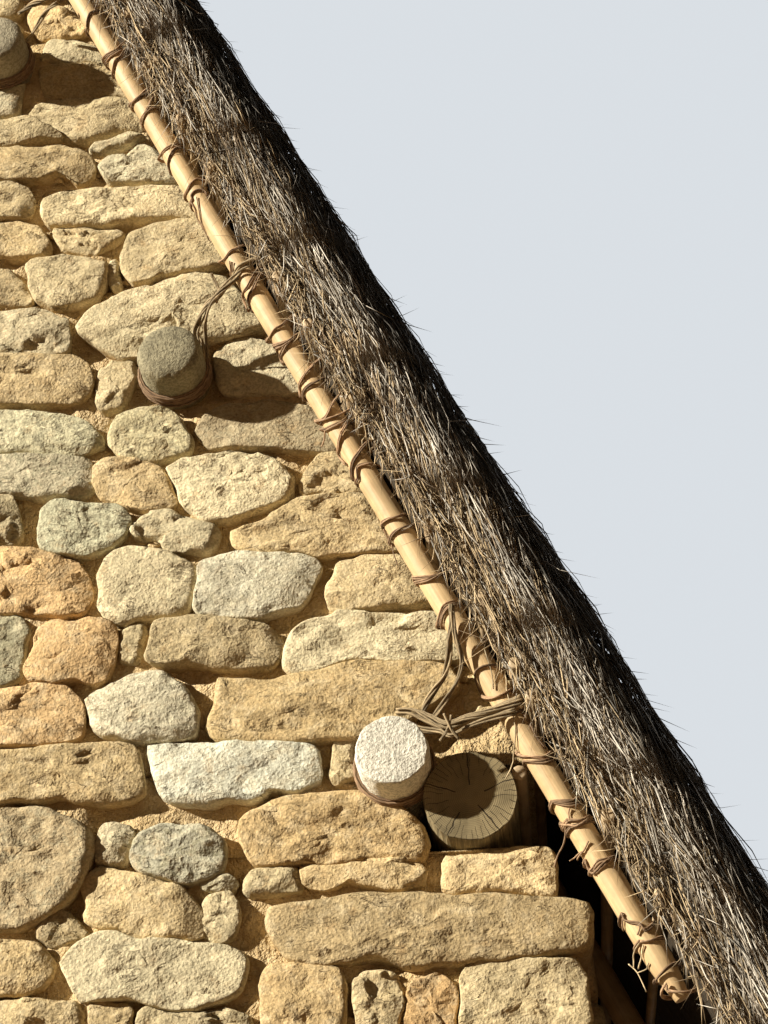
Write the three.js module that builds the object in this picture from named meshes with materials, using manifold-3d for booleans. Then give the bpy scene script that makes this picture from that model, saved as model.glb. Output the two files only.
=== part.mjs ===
// Inca stone house: four battered fieldstone walls, gable pegs, and a steep roof of poles and grass thatch.
// Millimetres, +Z up. The origin is on the ground at the middle of the house. The front gable faces -Y.

import * as THREE from "three";
import { mergeVertices } from "three/addons/utils/BufferGeometryUtils.js";
import Module from "manifold-3d";

const wasm = await Module();
wasm.setup();

// Driving dimensions: the walls
const HALF_WIDTH = 2100; // outer face of a side wall, at the top of the wall
const HALF_LENGTH = 3000; // outer face of a gable, at the height of the wall plates
const INNER_HALF_WIDTH = 1520;
const INNER_HALF_LENGTH = 2420;
const WALL_TOP = 2950; // top of the outer edge of a side wall
const PLATE_BED = 3060; // top of the flat stones that the wall plates lie on
const BED_OUTER_X = 2040; // outer edge of those flat stones
const BATTER = Math.tan(THREE.MathUtils.degToRad(2)); // the outer faces lean in as they rise
const GAP = 0.3; // running gap between two pieces that touch

// Driving dimensions: the doorway in the right side wall
const DOOR_HEIGHT = 1850;
const DOOR_HALF_FOOT = 410;
const DOOR_HALF_HEAD = 350;
const LINTEL_HEIGHT = 200;
const LINTEL_HALF_LENGTH = 620;

// Driving dimensions: the roof
const SLOPE = THREE.MathUtils.degToRad(63);
const RAFTER_APEX = 7180; // height where the rafter axes of the two slopes meet
const RAFTER_RADIUS = 35;
const RAFTER_SIDES = 10;
const RAFTER_FOOT = 5050; // distance down the slope from the apex to a rafter's foot
const RAFTER_PLACES = [-2240, -1120, 0, 1120, 2240];
const BATTEN_RADIUS = 16;
const BATTEN_SIDES = 6;
const BATTEN_NOTCH = 6; // how far a batten beds into the rafters
const BATTEN_END = 3170;
const BATTEN_FIRST = 440;
const BATTEN_STEP = 420;
const BATTEN_COUNT = 11;
const VERGE_POLE_Y = 3100;
const PLATE_RADIUS = 108;
const PLATE_SIDES = 24;
const PLATE_END = 3052;
const EAVE_POLE_RADIUS = 18;
const EAVE_POLE_SIDES = 12;
const EAVE_POLE_END = 3040;
const RIDGE_POLE_RADIUS = 50;
const RIDGE_POLE_SIDES = 12;
const RIDGE_POLE_END = 3060;

// Driving dimensions: the thatch
const THATCH_OUTER = 280;
const THATCH_EAVE = 5250; // distance down the slope from the apex to the thatch's lower end
const THATCH_END = 3220; // half length of the thatch, at the middle of the verge
// The verge's lower edge, tucked in: how far each corner is set back, and its height over the underside.
const VERGE_TUCK = [[70, 0], [15, 45], [0, 95]];
// The verge's outer edge, rounded: how far each corner is set back, and how far it is under the thatch's top.
const VERGE_ROUND = [[35, 60], [85, 18], [150, 0]];
const THATCH_TRIM = 7500; // height where the two slopes are cut level under the ridge cap
const CAP_THICKNESS = 70;
const CAP_LEG = 6950; // height of the cap's lower edge
const CAP_TOP = 7690;
const CAP_END = 3190;
const CAP_STEPS = 4; // corners of a quarter of its rounded top

// Driving dimensions: the gable pegs and their rope ties
const PEG_RADIUS = 84;
const PEG_OUT = 138; // how far a peg stands out of the wall
const PEG_IN = 260; // how far it runs into the wall
const PEG_SIDES = 16;
const PEG_COUNT = 3;
const PEG_LOWEST_X = 1669;
const PEG_LOWEST_Z = 3255;
const PEG_STEP_X = -577;
const PEG_RISE = 1152;
const ROPE_RADIUS = 13;
const ROPE_SIDES = 6;
const TIE_OUT = 75; // distance of the rope ring from the wall

const FAR = 9000; // longer than any piece

const FINISHES = {
  masonry: { color: 0xc9a773, roughness: 0.95, metalness: 0 },
  peg_stone: { color: 0xb9ac8d, roughness: 0.95, metalness: 0 },
  log: { color: 0xa08a62, roughness: 0.85, metalness: 0 },
  peeled_pole: { color: 0xe0b77c, roughness: 0.65, metalness: 0 },
  thatch: { color: 0x8f7c5c, roughness: 1, metalness: 0 },
  rope: { color: 0x8b6d48, roughness: 0.9, metalness: 0 },
};

const SIN = Math.sin(SLOPE);
const COS = Math.cos(SLOPE);

// X of the line that lies `offset` outside the rafter axes, at height z.
function slopeX(z, offset = 0) {
  return ((RAFTER_APEX - z) * COS) / SIN + offset / SIN;
}

// Y distance of a gable's outer face from the middle of the house, at height z.
function gableFace(z) {
  return HALF_LENGTH - (z - PLATE_BED) * BATTER;
}

function solidOf(geometry) {
  const bare = geometry.clone();
  bare.deleteAttribute("normal");
  bare.deleteAttribute("uv");
  const merged = mergeVertices(bare, 1e-3);
  return new wasm.Manifold(
    new wasm.Mesh({
      numProp: 3,
      vertProperties: merged.attributes.position.array,
      triVerts: new Uint32Array(merged.index.array),
    }),
  );
}

function geometryOf(solid) {
  const { vertProperties, triVerts } = solid.getMesh();
  const geometry = new THREE.BufferGeometry();
  geometry.setAttribute("position", new THREE.BufferAttribute(vertProperties, 3));
  geometry.setIndex(new THREE.BufferAttribute(triVerts, 1));
  const faceted = geometry.toNonIndexed();
  faceted.computeVertexNormals();
  return faceted;
}

function outline(points) {
  return new THREE.Shape(points.map(([a, b]) => new THREE.Vector2(a, b)));
}

// An outline in X and Z, carried along Y from y0 to y1.
function alongY(points, y0, y1) {
  const geometry = new THREE.ExtrudeGeometry(outline(points), { depth: y1 - y0, bevelEnabled: false });
  const turn = new THREE.Matrix4().makeBasis(
    new THREE.Vector3(1, 0, 0),
    new THREE.Vector3(0, 0, 1),
    new THREE.Vector3(0, -1, 0),
  );
  return geometry.applyMatrix4(turn).translate(0, y1, 0);
}

// An outline in Y and Z, carried along X from x0 to x1.
function alongX(points, x0, x1) {
  const geometry = new THREE.ExtrudeGeometry(outline(points), { depth: x1 - x0, bevelEnabled: false });
  const turn = new THREE.Matrix4().makeBasis(
    new THREE.Vector3(0, 1, 0),
    new THREE.Vector3(0, 0, 1),
    new THREE.Vector3(1, 0, 0),
  );
  return geometry.applyMatrix4(turn).translate(x0, 0, 0);
}

// A round bar along Y, which is the way a three.js cylinder stands.
function barAlongY(radius, length, sides) {
  return new THREE.CylinderGeometry(radius, radius, length, sides);
}

function barAlongX(radius, length, sides) {
  return barAlongY(radius, length, sides).rotateZ(Math.PI / 2);
}

function piece(name, finish, geometry) {
  const mesh = new THREE.Mesh(geometry, new THREE.MeshStandardMaterial(FINISHES[finish]));
  mesh.name = name;
  return mesh;
}

// Places of the pieces that the walls are cut for

const plateZ = PLATE_BED + PLATE_RADIUS + GAP;
const plateX = slopeX(plateZ, -(PLATE_RADIUS + 2 * EAVE_POLE_RADIUS + RAFTER_RADIUS + 3 * GAP));
// The eave pole lies straight between the wall plate and the rafters.
const eavePoleX = plateX + (PLATE_RADIUS + EAVE_POLE_RADIUS + GAP) * SIN;
const eavePoleZ = plateZ + (PLATE_RADIUS + EAVE_POLE_RADIUS + GAP) * COS;
const ridgePoleZ = RAFTER_APEX - (RIDGE_POLE_RADIUS + RAFTER_RADIUS + GAP) / COS;
const battenHeight = RAFTER_RADIUS + BATTEN_RADIUS - BATTEN_NOTCH;
// The gable's masonry runs up to the battens, and the thatch lies on them.
const masonryLine = battenHeight - BATTEN_RADIUS - GAP;
const thatchInner = battenHeight + BATTEN_RADIUS + GAP;
// The verge poles lie a little lower than the rafters, so that the battens rest on them.
const vergeDrop = RAFTER_RADIUS + BATTEN_RADIUS + GAP - battenHeight;

function pegPlace(row) {
  return { x: PEG_LOWEST_X + row * PEG_STEP_X, z: PEG_LOWEST_Z + row * PEG_RISE };
}

// Walls

// Right half of the gable's outline, upwards: wall corner, step, log pocket, roof line, ridge seat.
function gableHalf() {
  const pocketLeft = plateX - PLATE_RADIUS - GAP;
  const pocketTop = plateZ + PLATE_RADIUS + GAP;
  const ridgeSeat = ridgePoleZ - RIDGE_POLE_RADIUS - GAP;
  return [
    [HALF_WIDTH + WALL_TOP * BATTER, 0],
    [HALF_WIDTH, WALL_TOP],
    [BED_OUTER_X, WALL_TOP],
    [BED_OUTER_X, PLATE_BED],
    [pocketLeft, PLATE_BED],
    [pocketLeft, pocketTop],
    [slopeX(pocketTop, masonryLine), pocketTop],
    [slopeX(ridgeSeat, masonryLine), ridgeSeat],
  ];
}

// The front gable: its outline, cut to its battered thickness, with sockets for pegs and eave poles.
function gableWall() {
  const right = gableHalf();
  const left = right.map(([x, z]) => [-x, z]).reverse();
  const face = solidOf(alongY([...right, ...left], -FAR / 2, 0));
  const thickness = solidOf(
    alongX(
      [
        [-gableFace(0), 0],
        [-INNER_HALF_LENGTH, 0],
        [-INNER_HALF_LENGTH, RAFTER_APEX],
        [-gableFace(RAFTER_APEX), RAFTER_APEX],
      ],
      -FAR / 2,
      FAR / 2,
    ),
  );
  let wall = face.intersect(thickness);
  for (const side of [-1, 1]) {
    for (let row = 0; row < PEG_COUNT; row++) {
      const { x, z } = pegPlace(row);
      const depth = PEG_IN + PEG_OUT + GAP;
      const socket = barAlongY(PEG_RADIUS + GAP, depth, PEG_SIDES);
      wall = wall.subtract(
        solidOf(socket.translate(side * x, -gableFace(z) - PEG_OUT + depth / 2, z)),
      );
    }
    const channel = barAlongY(EAVE_POLE_RADIUS + GAP, FAR, EAVE_POLE_SIDES);
    wall = wall.subtract(solidOf(channel.translate(side * eavePoleX, 0, eavePoleZ)));
  }
  return geometryOf(wall);
}

// A side wall's cross-section in X and Z, on the right of the house.
const sideProfile = [
  [INNER_HALF_WIDTH, 0],
  [HALF_WIDTH + WALL_TOP * BATTER, 0],
  [HALF_WIDTH, WALL_TOP],
  [BED_OUTER_X, WALL_TOP],
  [BED_OUTER_X, PLATE_BED],
  [INNER_HALF_WIDTH, PLATE_BED],
];
const sideEnd = INNER_HALF_LENGTH - GAP;

// The part of the right side wall that an elevation in Y and Z leaves.
function sideWall(elevation) {
  const whole = solidOf(alongY(sideProfile, -sideEnd, sideEnd));
  return geometryOf(whole.intersect(solidOf(alongX(elevation, 0, FAR / 2))));
}

// The wall on one side of the doorway: its jamb slopes, and a shelf carries the lintel.
const jambElevation = [
  [-sideEnd, 0],
  [-DOOR_HALF_FOOT, 0],
  [-DOOR_HALF_HEAD, DOOR_HEIGHT],
  [-LINTEL_HALF_LENGTH - GAP, DOOR_HEIGHT],
  [-LINTEL_HALF_LENGTH - GAP, PLATE_BED],
  [-sideEnd, PLATE_BED],
];

function blockElevation(z0, z1) {
  return [
    [-LINTEL_HALF_LENGTH, z0],
    [LINTEL_HALF_LENGTH, z0],
    [LINTEL_HALF_LENGTH, z1],
    [-LINTEL_HALF_LENGTH, z1],
  ];
}

function walls() {
  const group = new THREE.Group();
  group.add(piece("front_gable_wall", "masonry", gableWall()));
  const back = piece("back_gable_wall", "masonry", gableWall());
  back.rotation.z = Math.PI;
  group.add(back);

  const wholeSide = geometryOf(solidOf(alongY(sideProfile, -sideEnd, sideEnd)));
  const left = piece("left_side_wall", "masonry", wholeSide);
  left.rotation.z = Math.PI;
  group.add(left);

  const mirrored = jambElevation.map(([y, z]) => [-y, z]).reverse();
  const lintelTop = DOOR_HEIGHT + GAP + LINTEL_HEIGHT;
  group.add(piece("right_side_wall_front", "masonry", sideWall(jambElevation)));
  group.add(piece("right_side_wall_back", "masonry", sideWall(mirrored)));
  group.add(piece("door_lintel", "peg_stone", sideWall(blockElevation(DOOR_HEIGHT + GAP, lintelTop))));
  group.add(piece("wall_over_door", "masonry", sideWall(blockElevation(lintelTop + GAP, PLATE_BED))));
  return group;
}

// Pegs and ties

// A straight round bar between two points.
function barBetween(start, end, radius, sides) {
  const reach = end.clone().sub(start);
  const bar = barAlongY(radius, reach.length(), sides);
  const turn = new THREE.Quaternion().setFromUnitVectors(new THREE.Vector3(0, 1, 0), reach.normalize());
  return bar.applyQuaternion(turn).translate(...start.clone().add(end).multiplyScalar(0.5));
}

// A rope ring round a peg, with a strand from the ring to the verge pole, about the peg's own axis.
// hand is 1 on the gable's right and -1 on its left, and y is the ring's place along the house.
function ropeTie(hand, row, y) {
  const { x, z } = pegPlace(row);
  const ringRadius = PEG_RADIUS + GAP + ROPE_RADIUS;
  const ring = new THREE.TorusGeometry(ringRadius, ROPE_RADIUS, ROPE_SIDES, PEG_SIDES).rotateX(Math.PI / 2);
  const outward = new THREE.Vector3(hand * SIN, 0, COS);
  const start = outward.clone().multiplyScalar(ringRadius);
  const poleAxis = outward.clone().multiplyScalar((slopeX(z) - x) * SIN - vergeDrop);
  poleAxis.y = -VERGE_POLE_Y - y;
  const reach = poleAxis.clone().sub(start);
  const end = start.clone().addScaledVector(reach, 1 - (RAFTER_RADIUS + 2 * GAP) / reach.length());
  return geometryOf(solidOf(ring).add(solidOf(barBetween(start, end, ROPE_RADIUS, ROPE_SIDES))));
}

// The pegs of a gable with their ties. sides gives the house side of the gable's own right and left.
function gablePegs(end, sides) {
  const group = new THREE.Group();
  for (const [hand, side] of [
    [1, sides[0]],
    [-1, sides[1]],
  ]) {
    for (let row = 0; row < PEG_COUNT; row++) {
      const { x, z } = pegPlace(row);
      const face = -gableFace(z);
      const label = end + "_" + side + "_peg_" + (row + 1);
      const peg = piece(label, "peg_stone", barAlongY(PEG_RADIUS, PEG_OUT + PEG_IN, PEG_SIDES));
      peg.position.set(hand * x, face + (PEG_IN - PEG_OUT) / 2, z);
      group.add(peg);
      const tie = piece(label + "_tie", "rope", ropeTie(hand, row, face - TIE_OUT));
      tie.position.set(hand * x, face - TIE_OUT, z);
      group.add(tie);
    }
  }
  return group;
}

// Roof timber

// What lies past the ridge, in the slope's own frame, so that the two slopes meet on a plumb joint.
function pastRidge() {
  const box = new THREE.BoxGeometry(FAR, FAR, FAR).translate(-FAR / 2 + GAP / 2, 0, 0);
  return solidOf(box.rotateY(-SLOPE));
}

// What lies over a given height, in the slope's own frame.
function above(height) {
  const box = new THREE.BoxGeometry(FAR, FAR, FAR).translate(0, 0, FAR / 2 + height - RAFTER_APEX);
  return solidOf(box.rotateY(-SLOPE));
}

// A pole that runs down the slope, as far under the rafter axes as drop.
function slopePole(y, drop) {
  const overlap = 200; // cut off again at the ridge
  const length = RAFTER_FOOT + overlap;
  const bar = barAlongX(RAFTER_RADIUS, length, RAFTER_SIDES).translate(RAFTER_FOOT - length / 2, y, -drop);
  return solidOf(bar).subtract(pastRidge());
}

// Rafters with the main battens notched over them, as one lashed frame.
function roofFrame() {
  let frame = null;
  for (const y of RAFTER_PLACES) {
    const rafter = slopePole(y, 0);
    frame = frame ? frame.add(rafter) : rafter;
  }
  for (let i = 0; i < BATTEN_COUNT; i++) {
    const batten = barAlongY(BATTEN_RADIUS, 2 * BATTEN_END, BATTEN_SIDES);
    frame = frame.add(solidOf(batten.translate(BATTEN_FIRST + i * BATTEN_STEP, 0, battenHeight)));
  }
  return geometryOf(frame);
}

// Thatch

// Half of the slope's cross-section, in distance along the house and height over the rafter axes.
const vergeOutline = [
  ...VERGE_TUCK.map(([back, rise]) => [THATCH_END - back, thatchInner + rise]),
  ...VERGE_ROUND.map(([back, drop]) => [THATCH_END - back, THATCH_OUTER - drop]),
];

// One slope of thatch, in the slope's own frame.
function thatchSlope() {
  const section = [...vergeOutline, ...vergeOutline.map(([y, t]) => [-y, t]).reverse()];
  const overlap = 900; // cut off again at the ridge
  const slab = solidOf(alongX(section, -overlap, THATCH_EAVE));
  return geometryOf(slab.subtract(pastRidge()).subtract(above(THATCH_TRIM)));
}

// The bundle of thatch laid over the ridge: two legs on the slopes and a rounded top.
function ridgeCap() {
  const inner = THATCH_OUTER + GAP;
  const outer = inner + CAP_THICKNESS;
  const shoulderX = slopeX(THATCH_TRIM, outer);
  const half = [
    [slopeX(CAP_LEG, inner), CAP_LEG],
    [slopeX(CAP_LEG, outer), CAP_LEG],
  ];
  for (let i = 0; i < CAP_STEPS; i++) {
    const turn = (i / CAP_STEPS) * (Math.PI / 2);
    half.push([shoulderX * Math.cos(turn), THATCH_TRIM + (CAP_TOP - THATCH_TRIM) * Math.sin(turn)]);
  }
  const seat = [[slopeX(THATCH_TRIM + GAP, inner), THATCH_TRIM + GAP]];
  const mirror = (points) => points.map(([x, z]) => [-x, z]).reverse();
  const section = [...half, [0, CAP_TOP], ...mirror(half), ...mirror(seat), ...seat];
  return alongY(section, -CAP_END, CAP_END);
}

// One half of the roof. Its own X runs down the slope and its own Z points out of it.
function roofHalf(side, frontName, backName) {
  const plane = new THREE.Group();
  plane.position.set(0, 0, RAFTER_APEX);
  plane.rotation.y = SLOPE;
  plane.add(piece(side + "_rafters_and_battens", "peeled_pole", roofFrame()));
  plane.add(piece(frontName, "peeled_pole", geometryOf(slopePole(-VERGE_POLE_Y, vergeDrop))));
  plane.add(piece(backName, "peeled_pole", geometryOf(slopePole(VERGE_POLE_Y, vergeDrop))));
  plane.add(piece(side + "_thatch", "thatch", thatchSlope()));

  const half = new THREE.Group();
  half.add(plane);
  const plate = piece(side + "_wall_plate", "log", barAlongY(PLATE_RADIUS, 2 * PLATE_END, PLATE_SIDES));
  plate.position.set(plateX, 0, plateZ);
  half.add(plate);
  const eavePoleBar = barAlongY(EAVE_POLE_RADIUS, 2 * EAVE_POLE_END, EAVE_POLE_SIDES);
  const eavePole = piece(side + "_eave_pole", "peeled_pole", eavePoleBar);
  eavePole.position.set(eavePoleX, 0, eavePoleZ);
  half.add(eavePole);
  return half;
}

function roof() {
  const group = new THREE.Group();
  group.add(roofHalf("right", "front_right_verge_pole", "back_right_verge_pole"));
  const left = roofHalf("left", "back_left_verge_pole", "front_left_verge_pole");
  left.rotation.z = Math.PI;
  group.add(left);
  const ridgePoleBar = barAlongY(RIDGE_POLE_RADIUS, 2 * RIDGE_POLE_END, RIDGE_POLE_SIDES);
  const ridgePole = piece("ridge_pole", "log", ridgePoleBar);
  ridgePole.position.z = ridgePoleZ;
  group.add(ridgePole);
  group.add(piece("ridge_cap", "thatch", ridgeCap()));
  return group;
}

const house = new THREE.Group();
house.add(walls());
house.add(gablePegs("front", ["right", "left"]));
const backPegs = gablePegs("back", ["left", "right"]);
backPegs.rotation.z = Math.PI;
house.add(backPegs);
house.add(roof());

export default house;
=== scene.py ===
# The looks of the inca stone house, in metres, +Z up. The front gable faces -Y, as in the photograph.
# Every stone, straw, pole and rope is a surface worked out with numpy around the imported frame.

import math

import bpy
import numpy as np
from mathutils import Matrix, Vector
from numpy.random import default_rng


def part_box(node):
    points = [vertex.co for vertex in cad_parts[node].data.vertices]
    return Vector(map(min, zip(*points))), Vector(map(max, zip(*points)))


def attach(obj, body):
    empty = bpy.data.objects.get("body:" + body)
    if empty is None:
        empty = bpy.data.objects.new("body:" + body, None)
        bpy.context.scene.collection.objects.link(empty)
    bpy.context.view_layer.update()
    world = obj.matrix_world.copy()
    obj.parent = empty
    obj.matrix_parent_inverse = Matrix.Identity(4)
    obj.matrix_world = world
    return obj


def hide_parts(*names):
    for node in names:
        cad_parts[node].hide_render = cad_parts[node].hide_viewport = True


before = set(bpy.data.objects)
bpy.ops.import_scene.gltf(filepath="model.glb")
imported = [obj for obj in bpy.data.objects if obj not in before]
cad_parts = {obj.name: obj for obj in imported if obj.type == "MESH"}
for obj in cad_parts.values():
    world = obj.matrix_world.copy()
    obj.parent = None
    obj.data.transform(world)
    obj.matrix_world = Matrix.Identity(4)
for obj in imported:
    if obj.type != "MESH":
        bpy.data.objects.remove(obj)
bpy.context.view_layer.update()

# The house: the same driving dimensions as the frame
HALF_WIDTH = 2.100
HALF_LENGTH = 3.000
INNER_HALF_WIDTH = 1.520
INNER_HALF_LENGTH = 2.420
WALL_TOP = 2.950
PLATE_BED = 3.060
BED_OUTER_X = 2.040
BATTER = math.tan(math.radians(2))
DOOR_HEIGHT = 1.850
DOOR_HALF_FOOT = 0.410
DOOR_HALF_HEAD = 0.350
LINTEL_TOP = 2.050
LINTEL_HALF_LENGTH = 0.620
SLOPE = math.radians(63)
SIN, COS = math.sin(SLOPE), math.cos(SLOPE)
RAFTER_APEX = 7.180
RAFTER_RADIUS = 0.035
RAFTER_FOOT = 5.050
RAFTER_PLACES = (-2.24, -1.12, 0.0, 1.12, 2.24)
MASONRY_LINE = 0.0287
BATTEN_HEIGHT = 0.045
BATTEN_RADIUS = 0.016
BATTEN_FIRST = 0.440
BATTEN_STEP = 0.420
BATTEN_COUNT = 11
BATTEN_END = 3.170
VERGE_POLE_Y = 3.100
VERGE_DROP = 0.0063
THATCH_INNER = 0.0613
THATCH_OUTER = 0.280
THATCH_EAVE = 5.250
THATCH_TRIM = 7.500
CAP_LEG = 6.950
CAP_TOP = 7.690
CAP_THICKNESS = 0.070
CAP_END = 3.190
PEG_RADIUS = 0.084
PEG_OUT = 0.138
PEG_IN = 0.260
PEG_LOWEST = (1.669, 3.255)
PEG_STEP = (-0.577, 1.152)
PEG_ROWS = 3

# The photograph's camera
PHOTO_SIZE = np.array((768, 1024))
FOCAL_PIXELS = 2100.0
CAMERA_PLACE = np.array((2.034, -7.482, 1.350))
CAMERA_PITCH = math.radians(30)
CAMERA_TURN = math.radians(5)
SENSOR = 36.0


def camera_axes():
    """The camera's right, up and forward directions: turned level to the left, then pitched up."""
    ahead = np.array((-math.sin(CAMERA_TURN), math.cos(CAMERA_TURN), 0.0))
    right = np.array((math.cos(CAMERA_TURN), math.sin(CAMERA_TURN), 0.0))
    forward = ahead * math.cos(CAMERA_PITCH) + np.array((0, 0, math.sin(CAMERA_PITCH)))
    return right, np.cross(right, forward), forward


def make_camera():
    data = bpy.data.cameras.new("photo_camera")
    data.sensor_width = SENSOR
    data.lens = FOCAL_PIXELS / float(PHOTO_SIZE[1]) * SENSOR
    camera = bpy.data.objects.new("photo_camera", data)
    camera.location = CAMERA_PLACE
    camera.rotation_euler = (math.pi / 2 + CAMERA_PITCH, 0, CAMERA_TURN)
    bpy.context.scene.collection.objects.link(camera)
    bpy.context.scene.camera = camera


make_camera()


def pixel_rays(pixels):
    """The directions of the rays through pixels of the photograph."""
    right, up, forward = camera_axes()
    across, down = (np.asarray(pixels, float) - PHOTO_SIZE / 2).T
    return forward * FOCAL_PIXELS + right * across[:, None] - up * down[:, None]


def on_gable(pixels, proud=0.0):
    """Where the rays through pixels of the photograph meet the front gable's leaning face, moved out by proud,
    as distance across the wall and height."""
    rays = pixel_rays(pixels)
    face = -(HALF_LENGTH + PLATE_BED * BATTER) - proud
    reach = (face - CAMERA_PLACE[1] + BATTER * CAMERA_PLACE[2]) / (rays[:, 1] - BATTER * rays[:, 2])
    met = CAMERA_PLACE + rays * reach[:, None]
    return met[:, [0, 2]]


def stacked(*coordinates):
    """Points from their coordinates, each widened to the shape of all."""
    return np.stack(np.broadcast_arrays(*coordinates), -1)


# Noise


def hashed(cells, seed):
    """A repeatable value from -1 to 1 for each cell of whole numbers, mixed with large odd factors."""
    x, y, z = np.moveaxis(cells.astype(np.int64), -1, 0)
    mixed = x * 73856093 ^ y * 19349663 ^ z * 83492791 ^ seed * 49979693
    mixed = ((mixed ^ (mixed >> 13)) * 1274126177) & 0x7FFFFFFF
    mixed = ((mixed ^ (mixed >> 15)) * 668265263) & 0x7FFFFFFF
    return ((mixed >> 7) & 0xFFFF) / 32767.5 - 1.0


def smooth_noise(points, seed):
    """Value noise: the hashed corners of the unit cell round each point, blended with smooth weights."""
    low = np.floor(points)
    part = points - low
    part = part * part * (3 - 2 * part)
    total = 0.0
    for corner in np.ndindex(2, 2, 2):
        weight = np.prod(np.where(corner, part, 1 - part), axis=-1)
        total = total + weight * hashed(low + corner, seed)
    return total


def rough_noise(points, seed, octaves):
    """A sum of smooth noises, each twice as fine and half as strong as the one before."""
    total = 0.0
    for octave in range(octaves):
        total = total + smooth_noise(points * 2.03**octave, seed + 17 * octave) * 0.5**octave
    return total


def wander(values, seed):
    """Smooth noise along one line."""
    return smooth_noise(stacked(np.asarray(values, float), 0.5, 0.5), seed)


# Meshes


def ring_faces(rows, columns):
    """Quads between rings of points numbered ring by ring. The normal is the way along a ring crossed with the
    way to the next ring."""
    row, column = np.arange(rows - 1)[:, None] * columns, np.arange(columns)
    near, far = row + column, row + (column + 1) % columns
    return np.stack([near, far, far + columns, near + columns], -1).reshape(-1, 4)


def fan_faces(centre, ring):
    """Triangles from a centre point to a closed ring of points."""
    return np.stack([np.full(len(ring), centre), ring, np.roll(ring, -1)], -1)


def tube_faces(rows, columns):
    """A tube of rings closed by a centre point at each end. The points are the first centre, the rings in
    order, and the last centre."""
    last = 1 + rows * columns
    return [
        ring_faces(rows, columns) + 1,
        fan_faces(0, 1 + np.arange(columns))[:, ::-1],
        fan_faces(last, last - columns + np.arange(columns)),
    ]


def capped(rings, first=None, last=None):
    """The points of a closed tube: its rings, and the points in its ends, the mean ones unless given."""
    first, last = (rings[end].mean(0) if given is None else given for end, given in ((0, first), (-1, last)))
    return np.concatenate([[first], rings.reshape(-1, 3), [last]])


def full_turn(count):
    """Even angles round a circle."""
    return np.linspace(0, 2 * math.pi, count, endpoint=False)


def circle(count):
    return stacked(np.cos(full_turn(count)), np.sin(full_turn(count)))


def unit(vectors):
    return vectors / np.maximum(np.linalg.norm(vectors, axis=-1, keepdims=True), 1e-12)


def tubes(paths, radii, sides, reference):
    """A round profile carried along each path: every ring is a circle square to the path, turned so that its
    first point lies towards the reference direction.
    paths (copies, n, 3), radii (copies, n) or (copies, n, sides). Returns the points and the ring coordinates
    (two across and one along)."""
    copies, rows = paths.shape[:2]
    radii = np.asarray(radii, float)
    if radii.ndim < 3:
        radii = np.broadcast_to(radii, (copies, rows))[..., None]
    radii = np.broadcast_to(radii, (copies, rows, sides))
    along = unit(np.gradient(paths, axis=1))
    first = unit(reference - np.sum(reference * along, -1, keepdims=True) * along)
    second = np.cross(along, first)
    turn = full_turn(sides)
    spoke = np.cos(turn)[:, None] * first[:, :, None] + np.sin(turn)[:, None] * second[:, :, None]
    rings = paths[:, :, None] + spoke * radii[..., None]
    steps = np.linalg.norm(np.diff(paths, axis=1), axis=-1)
    run = np.concatenate([np.zeros((copies, 1)), np.cumsum(steps, 1)], 1)
    local = stacked(np.cos(turn) * radii, np.sin(turn) * radii, run[..., None])
    ends = np.zeros((copies, 2, 3))
    ends[:, 1, 2] = run[:, -1]
    points = np.concatenate([paths[:, :1], rings.reshape(copies, -1, 3), paths[:, -1:]], 1)
    local = np.concatenate([ends[:, :1], local.reshape(copies, -1, 3), ends[:, 1:]], 1)
    return points, local


SPIKE_FACES = [
    np.array([(0, 2, 1), (3, 4, 6), (4, 5, 6), (5, 3, 6)]),
    np.array([(0, 1, 4, 3), (1, 2, 5, 4), (2, 0, 3, 5)]),
]
SHORT_SPIKE_FACES = [np.array([(0, 2, 1), (0, 1, 3), (1, 2, 3), (2, 0, 3)])]


def spikes(roots, reaches, bends, widths, rng, short=False):
    """Straws: three-sided spikes whose centre line is root + s * reach + s * s * bend, with s from 0 to 1, and
    whose section shrinks to a point. A short one has a single straight step. Returns points and along."""
    stations = (0.0,) if short else (0.0, 0.5)
    turn = rng.uniform(0, 2 * math.pi, len(roots))[:, None] + np.arange(3) * 2 * math.pi / 3
    first = unit(np.cross(reaches, rng.normal(size=roots.shape)))
    second = np.cross(unit(reaches), first)
    spoke = np.cos(turn)[..., None] * first[:, None] + np.sin(turn)[..., None] * second[:, None]
    rings = []
    for s in stations:
        centre = roots + s * reaches + s * s * bends
        rings.append(centre[:, None] + spoke * (widths * (1 - 0.3 * s))[:, None, None])
    tip = (roots + reaches + bends)[:, None]
    along = np.concatenate([np.repeat(stations, 3), [1.0]])
    return np.concatenate([*rings, tip], 1), np.broadcast_to(along, (len(roots), len(along)))


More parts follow.
